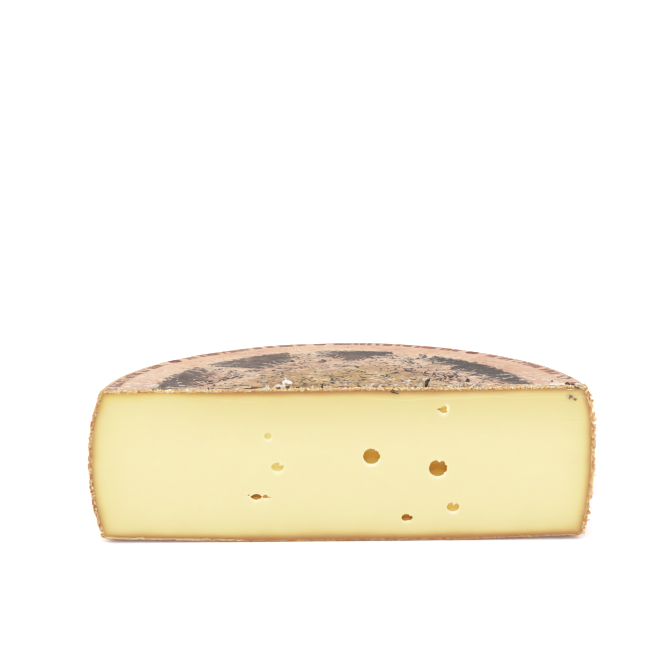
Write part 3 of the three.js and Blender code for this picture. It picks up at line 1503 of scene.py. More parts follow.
@dataclass
class CheeseBody:
    """Paste and rind of the half wheel, one closed mesh."""

    form: WheelForm
    edge: CutEdge
    eyes: tuple[Eye, ...] = EYES
    rind_side: int = 1
    paste_side: int = 0
    fine_rim: float = 11.0
    face_step: float = 3.0
    forward_reach: float = 1.1
    outward_reach: float = 1.3
    right_band: RimBand = RimBand(1.8, 1.0, 1.0)
    left_band: RimBand = RimBand(1.9, 1.5, 1.0)
    top_band: RimBand = RimBand(1.9, 0.0, 1.22)
    bottom_band: RimBand = RimBand(1.5, 0.0, 1.0)
    corner_power: float = 2.3
    draft: MeshDraft = field(default_factory=MeshDraft)
    rim: Array = field(init=False)
    outline: Array = field(init=False)
    normals: Array = field(init=False)
    eye_rims: list[Array] = field(init=False)

    def build(self) -> Object:
        """Builds the whole body.

        Returns:
            The body's object, without materials.
        """
        self.rim = self._rim_points()
        self.outline, self.normals = self._face_outline()
        self.eye_rims = [eye.rim(20 + 3 * index) for index, eye in enumerate(self.eyes)]
        self._side()
        self._disc(self.rim[-1], upper=True)
        self._disc(self.rim[0], upper=False)
        self._cut_face()
        return self.draft.to_object("cheese_body", self.form, weld=0.002)

    def _rim_points(self) -> Array:
        """The side's profile at the spacing that the cut's edge needs.

        Returns:
            Rows of radius and height.
        """
        outline = self.form.rim_outline()
        lengths = np.concatenate([[0], np.cumsum(np.linalg.norm(np.diff(outline, axis=0), axis=1))])
        places = even_steps(lengths[-1], self.form.edge_step)
        return np.column_stack([np.interp(places, lengths, outline[:, i]) for i in (0, 1)])

    def _arc_places(self) -> Array:
        """Angles round the rind, close together near the cut at both ends.

        Returns:
            Rising angles in radians.
        """
        half = math.pi * self.form.radius / 2
        near = self.form.steps_from_cut(half)
        far = 2 * half - near[-2::-1]
        return np.concatenate([near, far]) / self.form.radius

    @staticmethod
    def _profile_normals(profile: Array) -> Array:
        """Outward normals of a profile of radius and height.

        Args:
            profile: Rows of radius and height.

        Returns:
            Rows of unit steps in radius and height.
        """
        ahead = np.gradient(profile, axis=0)
        normals = np.column_stack([ahead[:, 1], -ahead[:, 0]])
        normals /= np.linalg.norm(normals, axis=1)[:, None]
        normals[0] = (0.0, -1.0)
        normals[-1] = (0.0, 1.0)
        return normals

    def _weather(self, base: Array, normals: Array, from_edge: Array) -> Array:
        """Moves even surface points to where the uneven cheese has them.

        Args:
            base: Points of the even form, in wheel coordinates.
            normals: Their outward directions; for points of the cut face, the outward
                direction of the nearest rim point.
            from_edge: Their distances from the cut's rim, in millimetres.

        Returns:
            The moved points.
        """
        fade = np.exp(-((from_edge / self.outward_reach) ** 2))
        step = self.edge.outward(base) * fade
        lift = np.zeros_like(base)
        lift[:, 2] = self.form.tilt(base) + self.form.foot_lift(base)
        lift[:, 1] = -self.edge.forward(base) * np.exp(-((from_edge / self.forward_reach) ** 2))
        moved = base + normals * step[:, None] + lift + self.form.end_shift(base)
        moved[:, 2] = np.maximum(moved[:, 2], 0.0)
        return moved

    def _side(self) -> None:
        """The bulging rind between the two rounded corners."""
        rim = self.rim
        normals = self._profile_normals(rim)
        steps = np.concatenate([[0], np.cumsum(np.linalg.norm(np.diff(rim, axis=0), axis=1))])
        arc = self._arc_places() * self.form.radius
        cloud = [(arc[0], s) for s in steps] + [(arc[-1], s) for s in steps]
        cloud += [(a, s) for a in arc[1:-1] for s in (steps[0], steps[-1])]
        for index, along in enumerate(arc[1:-1], 1):
            gap = (arc[index + 1] - arc[index - 1]) / 2
            heights = even_steps(steps[-1], max(gap, self.form.edge_step))
            cloud += [(along, s) for s in heights[1:-1]]
        points = np.array(cloud)
        bottom = [i for i in range(len(points)) if points[i, 1] == steps[0]]
        top = [i for i in range(len(points)) if points[i, 1] == steps[-1]]
        left = list(range(len(steps)))
        right = list(range(len(steps), 2 * len(steps)))
        bottom.sort(key=lambda i: points[i, 0])
        top.sort(key=lambda i: -points[i, 0])
        loop = bottom[:-1] + right[:-1] + top[:-1] + left[:0:-1]
        flat, faces = triangulate(points, [loop])
        angles = flat[:, 0] / self.form.radius
        radius = np.interp(flat[:, 1], steps, rim[:, 0])
        height = np.interp(flat[:, 1], steps, rim[:, 1])
        out = np.interp(flat[:, 1], steps, normals[:, 0])
        up = np.interp(flat[:, 1], steps, normals[:, 1])
        size = np.hypot(out, up)
        out, up = out / size, up / size
        base = np.column_stack([radius * np.cos(angles), radius * np.sin(angles), height])
        directions = np.column_stack([out * np.cos(angles), out * np.sin(angles), up])
        self._add_rind(base, directions, faces)

    def _disc(self, end: Array, upper: bool) -> None:
        """The upper face under the label, or the underside.

        Args:
            end: Radius and height where the side's rounded corner ends.
            upper: Which of the two faces it is.
        """
        radius, height = float(end[0]), float(end[1])
        angles = self._arc_places()
        arc = [(radius * math.cos(a), radius * math.sin(a)) for a in angles]
        arc[-1] = (-radius, 0.0)
        arc[0] = (radius, 0.0)
        front = self.front_places(radius)
        cloud = arc + [(x, 0.0) for x in front[1:-1]]
        loop = list(range(len(cloud)))
        cloud += half_disc_places(radius, self.form.steps_from_cut(radius))
        flat, faces = triangulate(np.array(cloud), [loop])
        heights = np.full(len(flat), height)
        if not upper:
            heights = self.form.underside_height(np.hypot(flat[:, 0], flat[:, 1]))
        base = np.column_stack([flat, heights])
        directions = np.tile([0.0, 0.0, 1.0 if upper else -1.0], (len(base), 1))
        self._add_rind(base, directions, faces)

    def front_places(self, radius: float) -> Array:
        """Places along a straight edge of the cut face, from left to right."""
        return even_steps(2 * radius, self.form.edge_step) - radius

    def _add_rind(self, base: Array, directions: Array, faces: Array) -> None:
        """Adds a patch of rind after weathering it.

        Args:
            base: Points of the even form.
            directions: Their outward directions.
            faces: Rows of three point indices.
        """
        swollen = base + directions * self.form.swell(base)[:, None]
        moved = swollen - base + self._weather(base, directions, base[:, 1])
        moved[:, 2] = np.maximum(moved[:, 2], 0.0)
        self.draft.add(moved, faces, self.rind_side, rind_depth=0.0, crumb=0.0, hollow=0.0, lip=0.0)

    def _face_outline(self) -> tuple[Array, Array]:
        """The even rim of the cut face.

        Returns:
            Rows of x and z anticlockwise from the lower left, and their outward normals.
        """
        rim, normals = self.rim, self._profile_normals(self.rim)
        foot = self.front_places(float(rim[0, 0]))[1:-1]
        crown = self.front_places(float(rim[-1, 0]))[-2:0:-1]
        under = np.column_stack([foot, self.form.underside_height(np.abs(foot))])
        over = np.column_stack([crown, np.full(len(crown), self.form.top)])
        mirror = np.array([-1.0, 1.0])
        points = np.vstack([under, rim, over, rim[::-1] * mirror])
        down = np.tile([0.0, -1.0], (len(under), 1))
        up = np.tile([0.0, 1.0], (len(over), 1))
        return points, np.vstack([down, normals, up, normals[::-1] * mirror])

    def _cut_face(self) -> None:
        """The cut face with its crumbly rim and its eyes."""
        loops, count = [], 0
        for rim in (self.outline, *self.eye_rims):
            loops.append(list(range(count, count + len(rim))))
            count += len(rim)
        flat, faces = triangulate(
            np.vstack([self.outline, *self.eye_rims, self._face_points()]), loops
        )
        faces = self._outside_eyes(flat, faces)
        points, lip = self._shape_face(flat)
        depth, crumb = self._bands(flat)
        self.draft.add(
            points, faces, self.paste_side, rind_depth=depth, crumb=crumb, hollow=0.0, lip=lip
        )
        for index in range(len(self.eyes)):
            self._hollow(index)

    def _face_points(self) -> Array:
        """Free points of the cut face: close together at its rim and round the eyes.

        Returns:
            Rows of x and z.
        """
        fine, step = self.form.edge_step, self.face_step
        depths = graded_steps(self.fine_rim, fine, self.form.step_growth, step)[1:]
        rings, before = [], 0.0
        for depth in depths:
            stride = max(1, round((depth - before) / fine))
            ring = self.outline[::stride] - self.normals[::stride] * depth
            gaps = nearest(ring, self.outline)[0]
            rings.append(ring[gaps > 0.9 * depth])
            before = depth
        span_x = np.arange(-self.form.radius, self.form.radius, step)
        span_z = np.arange(0.0, self.form.top, step)
        grid = np.array([(x + step / 2 * (row % 2), z) for row, z in enumerate(span_z) for x in span_x])
        grid = grid + np.random.default_rng(5).uniform(-0.4, 0.4, grid.shape)
        gaps = nearest(grid, self.outline)[0]
        grid = grid[(gaps > depths[-1] + 1.2) & (np.abs(grid[:, 0]) < self.form.radius - 10)]
        rim_cloud = np.vstack(self.eye_rims)
        grid = grid[nearest(grid, rim_cloud)[0] > 3.4]
        around = []
        for eye, rim in zip(self.eyes, self.eye_rims, strict=True):
            offsets = rim - [eye.x, eye.z]
            length = np.linalg.norm(offsets, axis=1)[:, None]
            for distance, stride in ((0.3, 1), (0.65, 1), (1.1, 2), (1.7, 3), (2.5, 4)):
                ring = rim + offsets / length * distance
                around.append(ring[::stride])
        ring_cloud = np.vstack(around)
        ring_cloud = ring_cloud[nearest(ring_cloud, rim_cloud)[0] > 0.16]
        return np.vstack([*rings, grid, ring_cloud])

    def _outside_eyes(self, flat: Array, faces: Array) -> Array:
        """Leaves out the faces that lie inside an eye's rim.

        Args:
            flat: Rows of x and z on the cut face.
            faces: Rows of three point indices.

        Returns:
            The other faces.
        """
        middles = flat[faces].mean(axis=1)
        inside = np.zeros(len(faces), bool)
        for rim in self.eye_rims:
            ahead = np.roll(rim, -1, axis=0)
            low, high = rim.min(axis=0), rim.max(axis=0)
            near = np.flatnonzero(((middles > low) & (middles < high)).all(axis=1))
            for index in near:
                x, z = middles[index]
                crosses = (rim[:, 1] > z) != (ahead[:, 1] > z)
                slope = (ahead[:, 0] - rim[:, 0]) / np.where(crosses, ahead[:, 1] - rim[:, 1], 1.0)
                inside[index] |= bool(np.sum(crosses & (x < rim[:, 0] + (z - rim[:, 1]) * slope)) % 2)
        return faces[~inside]

    def _shape_face(self, flat: Array) -> tuple[Array, Array]:
        """Gives points of the cut face their relief.

        Args:
            flat: Rows of x and z.

        Returns:
            The moved points, and how much lip curd they show.
        """
        gaps, index = nearest(flat, self.outline)
        base = upright(flat)
        directions = upright(self.normals[index])
        swell = self.form.swell(upright(self.outline[index])) * np.exp(-gaps / 12.0)
        points = self._weather(base, directions, gaps) + directions * swell[:, None]
        points[:, 2] = np.maximum(points[:, 2], 0.0)
        waves = 0.22 * ripple(base * [1.0, 1.0, 2.5], 45.0, 41)
        waves += 0.05 * ripple(base * [0.4, 1, 3], 9.0, 42)
        fillet, lip = self._lips(flat)
        points[:, 1] += waves * ease(gaps, 0.0, 6.0) + fillet
        return points, lip

    def _bands(self, flat: Array) -> tuple[Array, Array]:
        """Torn rind and browning along the four sides of the cut face.

        Args:
            flat: Rows of x and z.

        Returns:
            Each point's place on the browning scale, and how far out it lies in the torn
            rind, from 0 at its inner edge to 1 at the rim.
        """
        rim = self.rim
        foot = self.front_places(float(rim[0, 0]))
        crown = self.front_places(float(rim[-1, 0]))
        across = flat[:, 0]
        paler_ends = 2.4 * ease(-across, 40.0, 130.0) + 1.0 * ease(across, 30.0, 100.0)
        sides = (
            (self.right_band, rim, 0.0),
            (self.left_band, rim * [-1.0, 1.0], 0.0),
            (self.top_band, np.column_stack([crown, np.full(len(crown), self.form.top)]), paler_ends),
            (self.bottom_band, np.column_stack([foot, self.form.underside_height(np.abs(foot))]), 0.0),
        )
        total, crumb = np.zeros(len(flat)), np.zeros(len(flat))
        for band, line, lighter in sides:
            gaps = nearest(flat, line)[0]
            total += band.browning(gaps, lighter) ** -self.corner_power
            crumb = np.maximum(crumb, 1.0 - gaps / band.crumbs)
        return total ** (-1.0 / self.corner_power), crumb

    def _lips(self, flat: Array) -> tuple[Array, Array]:
        """Rounding, pale curd and a painted highlight round the eyes, strongest on the lower lips.

        Args:
            flat: Rows of x and z on the cut face.

        Returns:
            How far each point sinks behind the face, and how pale it is, 0 to 1.
        """
        sink, pale = np.zeros(len(flat)), np.zeros(len(flat))
        for eye, rim in zip(self.eyes, self.eye_rims, strict=True):
            centre = np.array([eye.x, eye.z])
            near = np.flatnonzero(np.linalg.norm(flat - centre, axis=1) < eye.width / 2 + 5.0)
            if not len(near) or eye.lip == 0.0:
                continue
            gaps, index = nearest(flat[near], rim)
            offset = rim[index] - centre
            angles = np.arctan2(offset[:, 1], offset[:, 0])
            below = np.clip(-np.sin(angles), 0.0, 1.0)
            size = min(1.0, eye.width / 6.0)
            soft = 0.3 + 0.9 * below
            sink[near] += eye.lip * size * 0.42 * soft * np.exp(-((gaps / soft) ** 2))
            ridge = np.exp(-(((gaps - 0.75) / 0.4) ** 2))
            sink[near] -= eye.lip * size * 0.09 * ridge
            notched = np.clip(eye.bite(angles) / 0.8, 0.0, 1.0)
            above = eye.crown * np.clip(0.4 + np.sin(angles), 0.0, 1.0)
            # Pale broken curd round each rim, brighter on the lower lip as a painted highlight where the
            # lip faces up to the light.
            curd_and_highlight = (0.25 + 0.65 * below) * np.exp(-((gaps / (0.4 + 1.1 * below)) ** 2))
            curd_and_highlight = np.maximum(curd_and_highlight, 0.9 * above * np.exp(-((gaps / 0.6) ** 2)))
            flap = notched * np.exp(-((gaps / 0.95) ** 2))
            pale[near] = np.maximum(pale[near], eye.lip * np.maximum(curd_and_highlight, flap))
        return sink, pale

    def _hollow(self, index: int) -> None:
        """The inside of one eye, from its rim to its bottom.

        Args:
            index: Which of the eyes it is.
        """
        eye, rim = self.eyes[index], self.eye_rims[index]
        count = len(rim)
        angles = np.linspace(0, 2 * math.pi, count, endpoint=False)
        start, lip = self._shape_face(rim)
        offsets = start[:, [0, 2]] - [eye.x, eye.z]
        smooth = eye.smooth_rim(angles)
        mouth = start[:, 1]
        rings, hollow, lips = [start], [np.full(count, 0.0)], [lip]
        levels = 9 if eye.width > 5 else 6
        below = ease(-np.sin(angles), 0.2, 1.0)
        wall_shade = 1 - 0.5 * ease(np.sin(angles), 0.0, 1.0) + 0.05 * below
        for level in range(1, levels):
            share = level / levels
            turn = share * math.pi / 2
            blend = min(1.0, 2.5 * share)
            shape = (1 - blend) * offsets + blend * smooth
            scale = math.cos(turn) * (1 + 2.2 * eye.undercut * math.sin(2 * turn))
            place = shape * scale
            down = mouth + (eye.depth - mouth) * math.sin(turn) ** (0.8 if eye.undercut else 1.1)
            ring = np.column_stack([eye.x + place[:, 0], down, eye.z + place[:, 1]])
            ring[:, 1] += 0.05 * eye.width / 6.0 * ripple(ring, 1.4, 60 + index)
            rings.append(ring)
            away = math.cos(turn)
            # Painted shade inside the eye: it grows with depth and is set wall by wall, lighter on the
            # upper wall near the mouth.
            reached = np.clip(0.3 - 0.25 * below + (2.4 - 1.2 * below) * share, 0.0, 1.0)
            hollow.append(eye.amber_shade * reached * (1 - away + away * wall_shade))
            lips.append(lip * math.exp(-((share / 0.12) ** 2)))
        points = np.vstack([*rings, [[eye.x, eye.depth, eye.z]]])
        faces = tube_faces(count, levels - 1)
        last = (levels - 1) * count
        faces += [[last + i, last + (i + 1) % count, len(points) - 1] for i in range(count)]
        depth = float(nearest(np.array([[eye.x, eye.z]]), self.outline)[0][0])
        self.draft.add(
            points,
            faces,
            self.paste_side,
            rind_depth=depth,
            crumb=0.0,
            hollow=np.concatenate([*hollow, [eye.amber_shade]]),
            lip=np.concatenate([*lips, [0.0]]),
        )

    def dress(self, obj: Object, effects: SharedEffects) -> None:
        """Gives the body its paste and rind, and puts it in the solid's place.

        Args:
            obj: The piece's object.
            effects: The shared effects.
        """
        paste = PasteFinish().material(self.form, effects)
        rind = RindFinish().material(self.form, effects)
        settle(obj, [paste, rind])
        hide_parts("cheese_half_wheel")


# ---- The label ----


def border_walls(border: Sequence[int], count: int) -> list[list[int]]:
    """Faces between the border of a sheet and that of its copy, count points further on."""
    after = [*border[1:], border[0]]
    return [[b, a, a + count, b + count] for a, b in zip(border, after, strict=True)]


def closed_sheet(
    upper: Array, faces: Array, border: Sequence[int], thickness: float
) -> tuple[Array, list[list[int]]]:
    """A thin closed solid from a sheet of points.

    Args:
        upper: Points of the sheet's upper side.
        faces: Its faces.
        border: Indices of its closed border, in order.
        thickness: Thickness of the solid, downwards.

    Returns:
        Points and faces of the solid.
    """
    count = len(upper)
    points = np.vstack([upper, upper - [0.0, 0.0, thickness]])
    made = [list(face) for face in faces]
    made += [[int(i) + count for i in reversed(list(face))] for face in faces]
    return points, made + border_walls(border, count)


@dataclass
class TopLabel:
    """The half paper label, cut with the cheese."""

    form: WheelForm
    thickness: float = 0.16
    clearance: float = 0.06
    set_back: float = 0.8
    margin: float = 1.0
    edge_step: float = 0.45
    step_growth: float = 0.3
    coarse_step: float = 2.8

    def front(self, x: Array) -> Array:
        """How far behind the cut face the label's torn edge lies, at each x.

        Args:
            x: Places along the cut.

        Returns:
            Millimetres for each place.
        """
        line = np.column_stack([x, np.zeros(len(x)), np.zeros(len(x))])
        tears = 0.5 * ripple(line, 7.0, 71) + 0.3 * ripple(line, 1.6, 72) + 0.15 * ripple(line, 0.7, 73)
        deep = np.exp(-(((x + 47.0) / 5.0) ** 2)) + 0.8 * np.exp(-(((x - 72.0) / 4.0) ** 2))
        return np.clip(self.set_back + tears + 0.9 * deep, 0.12, None)

    def build(self) -> Object:
        """Builds the label as a thin sheet that follows the uneven top.

        Returns:
            The label's object, without materials.
        """
        radius = float(self.form.side_radius(np.array(self.form.top))) - self.margin
        angles = even_steps(math.pi, 1.6 / radius)
        arc = np.column_stack([radius * np.cos(angles), radius * np.sin(angles)])
        arc[:, 1] = np.maximum(arc[:, 1], 0.0)
        front_x = even_steps(2 * radius, self.edge_step)[1:-1] - radius
        front = np.column_stack([front_x, np.zeros(len(front_x))])
        rows = graded_steps(radius, self.edge_step, self.step_growth, self.coarse_step)
        inside = half_disc_places(radius, rows)
        border = list(range(len(arc) + len(front)))
        flat, faces = triangulate(np.vstack([arc, front, inside]), [border])
        inward = self.front(flat[:, 0]) * np.exp(-flat[:, 1] / 2.5)
        corner = ease(np.abs(flat[:, 0]), 0.97 * radius, radius)
        flat[:, 1] += inward * (1 - corner)
        base = np.column_stack([flat, np.zeros(len(flat))])
        base[:, 2] = self.form.top_height(base) + self.clearance + self.thickness
        base[:, 2] += 0.06 * ripple(base, 3.0, 74) * ease(base[:, 1], 0.0, 4.0)
        points, solid_faces = closed_sheet(base, faces, border, self.thickness)
        draft = MeshDraft()
        draft.add(points, solid_faces)
        return draft.to_object("paper_label", self.form, weld=0.0001)

    def dress(self, obj: Object, effects: SharedEffects) -> None:
        """Prints the label and puts it in the solid's place."""
        settle(obj, [LabelFinish().material(self.form, effects)])
        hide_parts("top_label")


# ---- Crumbs, shreds and flakes ----


@dataclass(frozen=True)
class EdgeStretch:
    """One stretch of the cut's rim and what the knife left on it. Sizes in millimetres."""

    inside: Callable[[Array], Array]
    crumbs: int
    size: tuple[float, float]
    proud: tuple[float, float]
    tone: tuple[float, float]
    shreds: int = 0
    shred_length: tuple[float, float] = (1.0, 2.0)
    shred_width: tuple[float, float] = (0.3, 0.6)


@dataclass
class RindCrumbs:
    """Crumbs and curled shreds of rind along the cut's rim."""

    body: CheeseBody
    seed: int = 17
    draft: MeshDraft = field(default_factory=MeshDraft)

    def stretches(self) -> tuple[EdgeStretch, ...]:
        """The rim's stretches: both sides, the top edge and the bottom edge.

        Returns:
            The stretches.
        """
        form = self.body.form
        top, low = form.top - 1.5, 1.8
        side = 0.93 * form.radius
        return (
            EdgeStretch(
                lambda p: (p[:, 0] > side) & (p[:, 1] > low + 2.0),
                420, (0.7, 1.7), (-1.1, 0.7), (0.1, 1.0), 200, (1.5, 3.4), (0.6, 1.2),
            ),
            EdgeStretch(
                lambda p: (p[:, 0] < -side) & (p[:, 1] > low),
                560, (0.7, 1.7), (-1.4, 0.4), (0.0, 1.0), 200, (0.9, 1.8), (0.4, 0.8),
            ),
            EdgeStretch(
                lambda p: p[:, 1] > top,
                1400, (0.5, 1.4), (-0.8, 0.4), (0.4, 1.0), 200, (0.7, 1.4), (0.35, 0.7),
            ),
            EdgeStretch(lambda p: p[:, 1] > top, 420, (0.35, 0.9), (-1.9, -0.7), (0.15, 0.8)),
            EdgeStretch(lambda p: p[:, 1] < 2.3, 700, (0.35, 0.9), (-0.8, 0.1), (0.0, 0.7)),
            EdgeStretch(
                lambda p: (p[:, 1] < 2.3) & (p[:, 0] < -0.4 * form.radius),
                420, (0.4, 1.0), (-1.5, -0.4), (0.6, 1.0),
            ),
        )

    def build(self) -> Object:
        """Scatters every crumb and shred.

        Returns:
            One object that holds them all, without materials.
        """
        rng = np.random.default_rng(self.seed)
        for stretch in self.stretches():
            chosen = np.flatnonzero(stretch.inside(self.body.outline))
            for _ in range(stretch.crumbs):
                self._crumb(rng, int(rng.choice(chosen)), stretch)
            for _ in range(stretch.shreds):
                self._shred(rng, int(rng.choice(chosen)), stretch)
        return self.draft.to_object("rind_crumbs", self.body.form)

    def _root(self, index: int) -> tuple[Array, Array]:
        """Where a rim point really lies, and its outward direction.

        Args:
            index: Which rim point it is.

        Returns:
            The place and a unit step.
        """
        flat = upright(self.body.outline[[index]])
        direction = upright(self.body.normals[[index]])[0]
        step = float(self.body.edge.outward(flat)[0] + self.body.form.swell(flat)[0])
        point = flat[0] + direction * step + self.body.form.end_shift(flat)[0]
        point[2] += float(self.body.form.tilt(flat)[0] + self.body.form.foot_lift(flat)[0])
        point[1] -= float(self.body.edge.forward(flat)[0])
        return point, direction

    def _crumb(self, rng: np.random.Generator, index: int, stretch: EdgeStretch) -> None:
        """One crumb: a jittered, squashed icosahedron half sunk into the rim.

        Args:
            rng: Gives the random draws.
            index: The rim point that it sits on.
            stretch: The stretch of rim that it grows on.
        """
        point, direction = self._root(index)
        size = rng.uniform(*stretch.size) * rng.uniform(0.5, 1.0)
        centre = point + direction * rng.uniform(*stretch.proud)
        centre = centre + [0.0, rng.uniform(-0.35, 0.15), 0.0]
        golden = (1 + 5**0.5) / 2
        corners = []
        for a in (-1, 1):
            for b in (-golden, golden):
                corners += [(0, a, b), (a, b, 0), (b, 0, a)]
        shape = np.array(corners) / 1.9 * rng.uniform(0.6, 1.25, (12, 1))
        stretchiness = rng.uniform((0.7, 0.5, 0.4), (1.5, 1.0, 0.9))
        turn = Matrix.Rotation(rng.uniform(0, 6.28), 3, Vector(rng.normal(size=3)).normalized())
        shape = (shape * stretchiness) @ np.array(turn) * size / 2
        points = centre + shape
        points[:, 2] = np.maximum(points[:, 2], 0.02)
        # Each crumb's tone: partly its own colour, partly painted sparkle and shade.
        self.draft.add(points, self._hull(shape), tone=rng.uniform(*stretch.tone))

    @staticmethod
    def _hull(shape: Array) -> list[list[int]]:
        """Faces of the convex hull of a few points.

        Args:
            shape: Rows of x, y, z.

        Returns:
            Runs of point indices.
        """
        work = bmesh.new()
        verts = [work.verts.new(p) for p in shape]
        for order, vert in enumerate(verts):
            vert.index = order
        bmesh.ops.convex_hull(work, input=verts)
        faces = [[v.index for v in f.verts] for f in work.faces]
        work.free()
        return faces

    def _shred(self, rng: np.random.Generator, index: int, stretch: EdgeStretch) -> None:
        """One shred: a thin curling strip that stands off the rim, with a painted highlight along one
        edge.

        Args:
            rng: Gives the random draws.
            index: The rim point that it hangs from.
            stretch: The stretch of rim that it grows on.
        """
        point, direction = self._root(index)
        length = rng.uniform(*stretch.shred_length)
        along = direction + [0.0, rng.uniform(-0.6, 0.1), rng.uniform(-0.2, 1.7)]
        along /= np.linalg.norm(along)
        axis = Vector(rng.normal(size=3) + [0.0, 3.0 * rng.choice([-1, 1]), 0.0]).normalized()
        curl = Matrix.Rotation(rng.uniform(0.1, 0.5), 3, axis)
        width = rng.uniform(*stretch.shred_width)
        side = Vector(np.cross(along, rng.normal(size=3))).normalized()
        place, heading = Vector(point) - Vector(along) * 0.3, Vector(along)
        rings, steps = [], 7
        for step in range(steps + 1):
            taper = width * (1.0 - 0.7 * (step / steps) ** 1.5)
            flat_way = heading.cross(side).normalized()
            for across, through in ((-1, 0), (0, 0.5), (1, 0), (0, -0.5)):
                rings.append(place + side * across * taper / 2 + flat_way * through * taper)
            place = place + heading * (length / steps)
            heading = (curl @ heading).normalized()
        points = np.array([tuple(p) for p in rings])
        points += rng.normal(scale=0.06 * width, size=points.shape)
        points[:, 2] = np.maximum(points[:, 2], 0.02)
        faces = [[3, 2, 1, 0], [4 * steps, 4 * steps + 1, 4 * steps + 2, 4 * steps + 3]]
        faces += tube_faces(4, steps)
        # Painted highlight: one edge of each shred is bright cream, the rest keeps the shred's own tone.
        shred_tone = rng.uniform(stretch.tone[0], 0.5 * sum(stretch.tone))
        tones = np.tile([shred_tone, shred_tone, rng.uniform(0.85, 1.0), shred_tone], steps + 1)
        self.draft.add(points, faces, tone=tones)

    def dress(self, obj: Object, effects: SharedEffects) -> None:
        """Colours the crumbs from brown over pinkish orange to cream; their wide spread of tones is
        partly the crumbs' own colours and partly painted sparkle and shade.

        Args:
            obj: The piece's object.
            effects: The shared effects.
        """
        finish = ScrapFinish(
            "rind_crumb",
            (
                (0.0, (142, 78, 44)),
                (0.2, (196, 118, 66)),
                (0.38, (228, 166, 98)),
                (0.5, (240, 200, 128)),
                (0.62, (248, 222, 150)),
                (0.76, (253, 239, 188)),
                (1.0, (255, 251, 226)),
            ),
            light=1.18,
        )
        settle(obj, [finish.material(self.body.form, effects)])


@dataclass(frozen=True)
class Flake:
    """A torn, curled bit of label on the cut's upper edge. Sizes in millimetres."""

    x: float
    width: float
    height: float
    tone: float
    lean: float = 20.0
    curl: float = 60.0
    turn: float = 0.0
    narrowing: float = 0.3
    skew: float = 0.0
    y: float = 0.6
    drop: float = 0.0


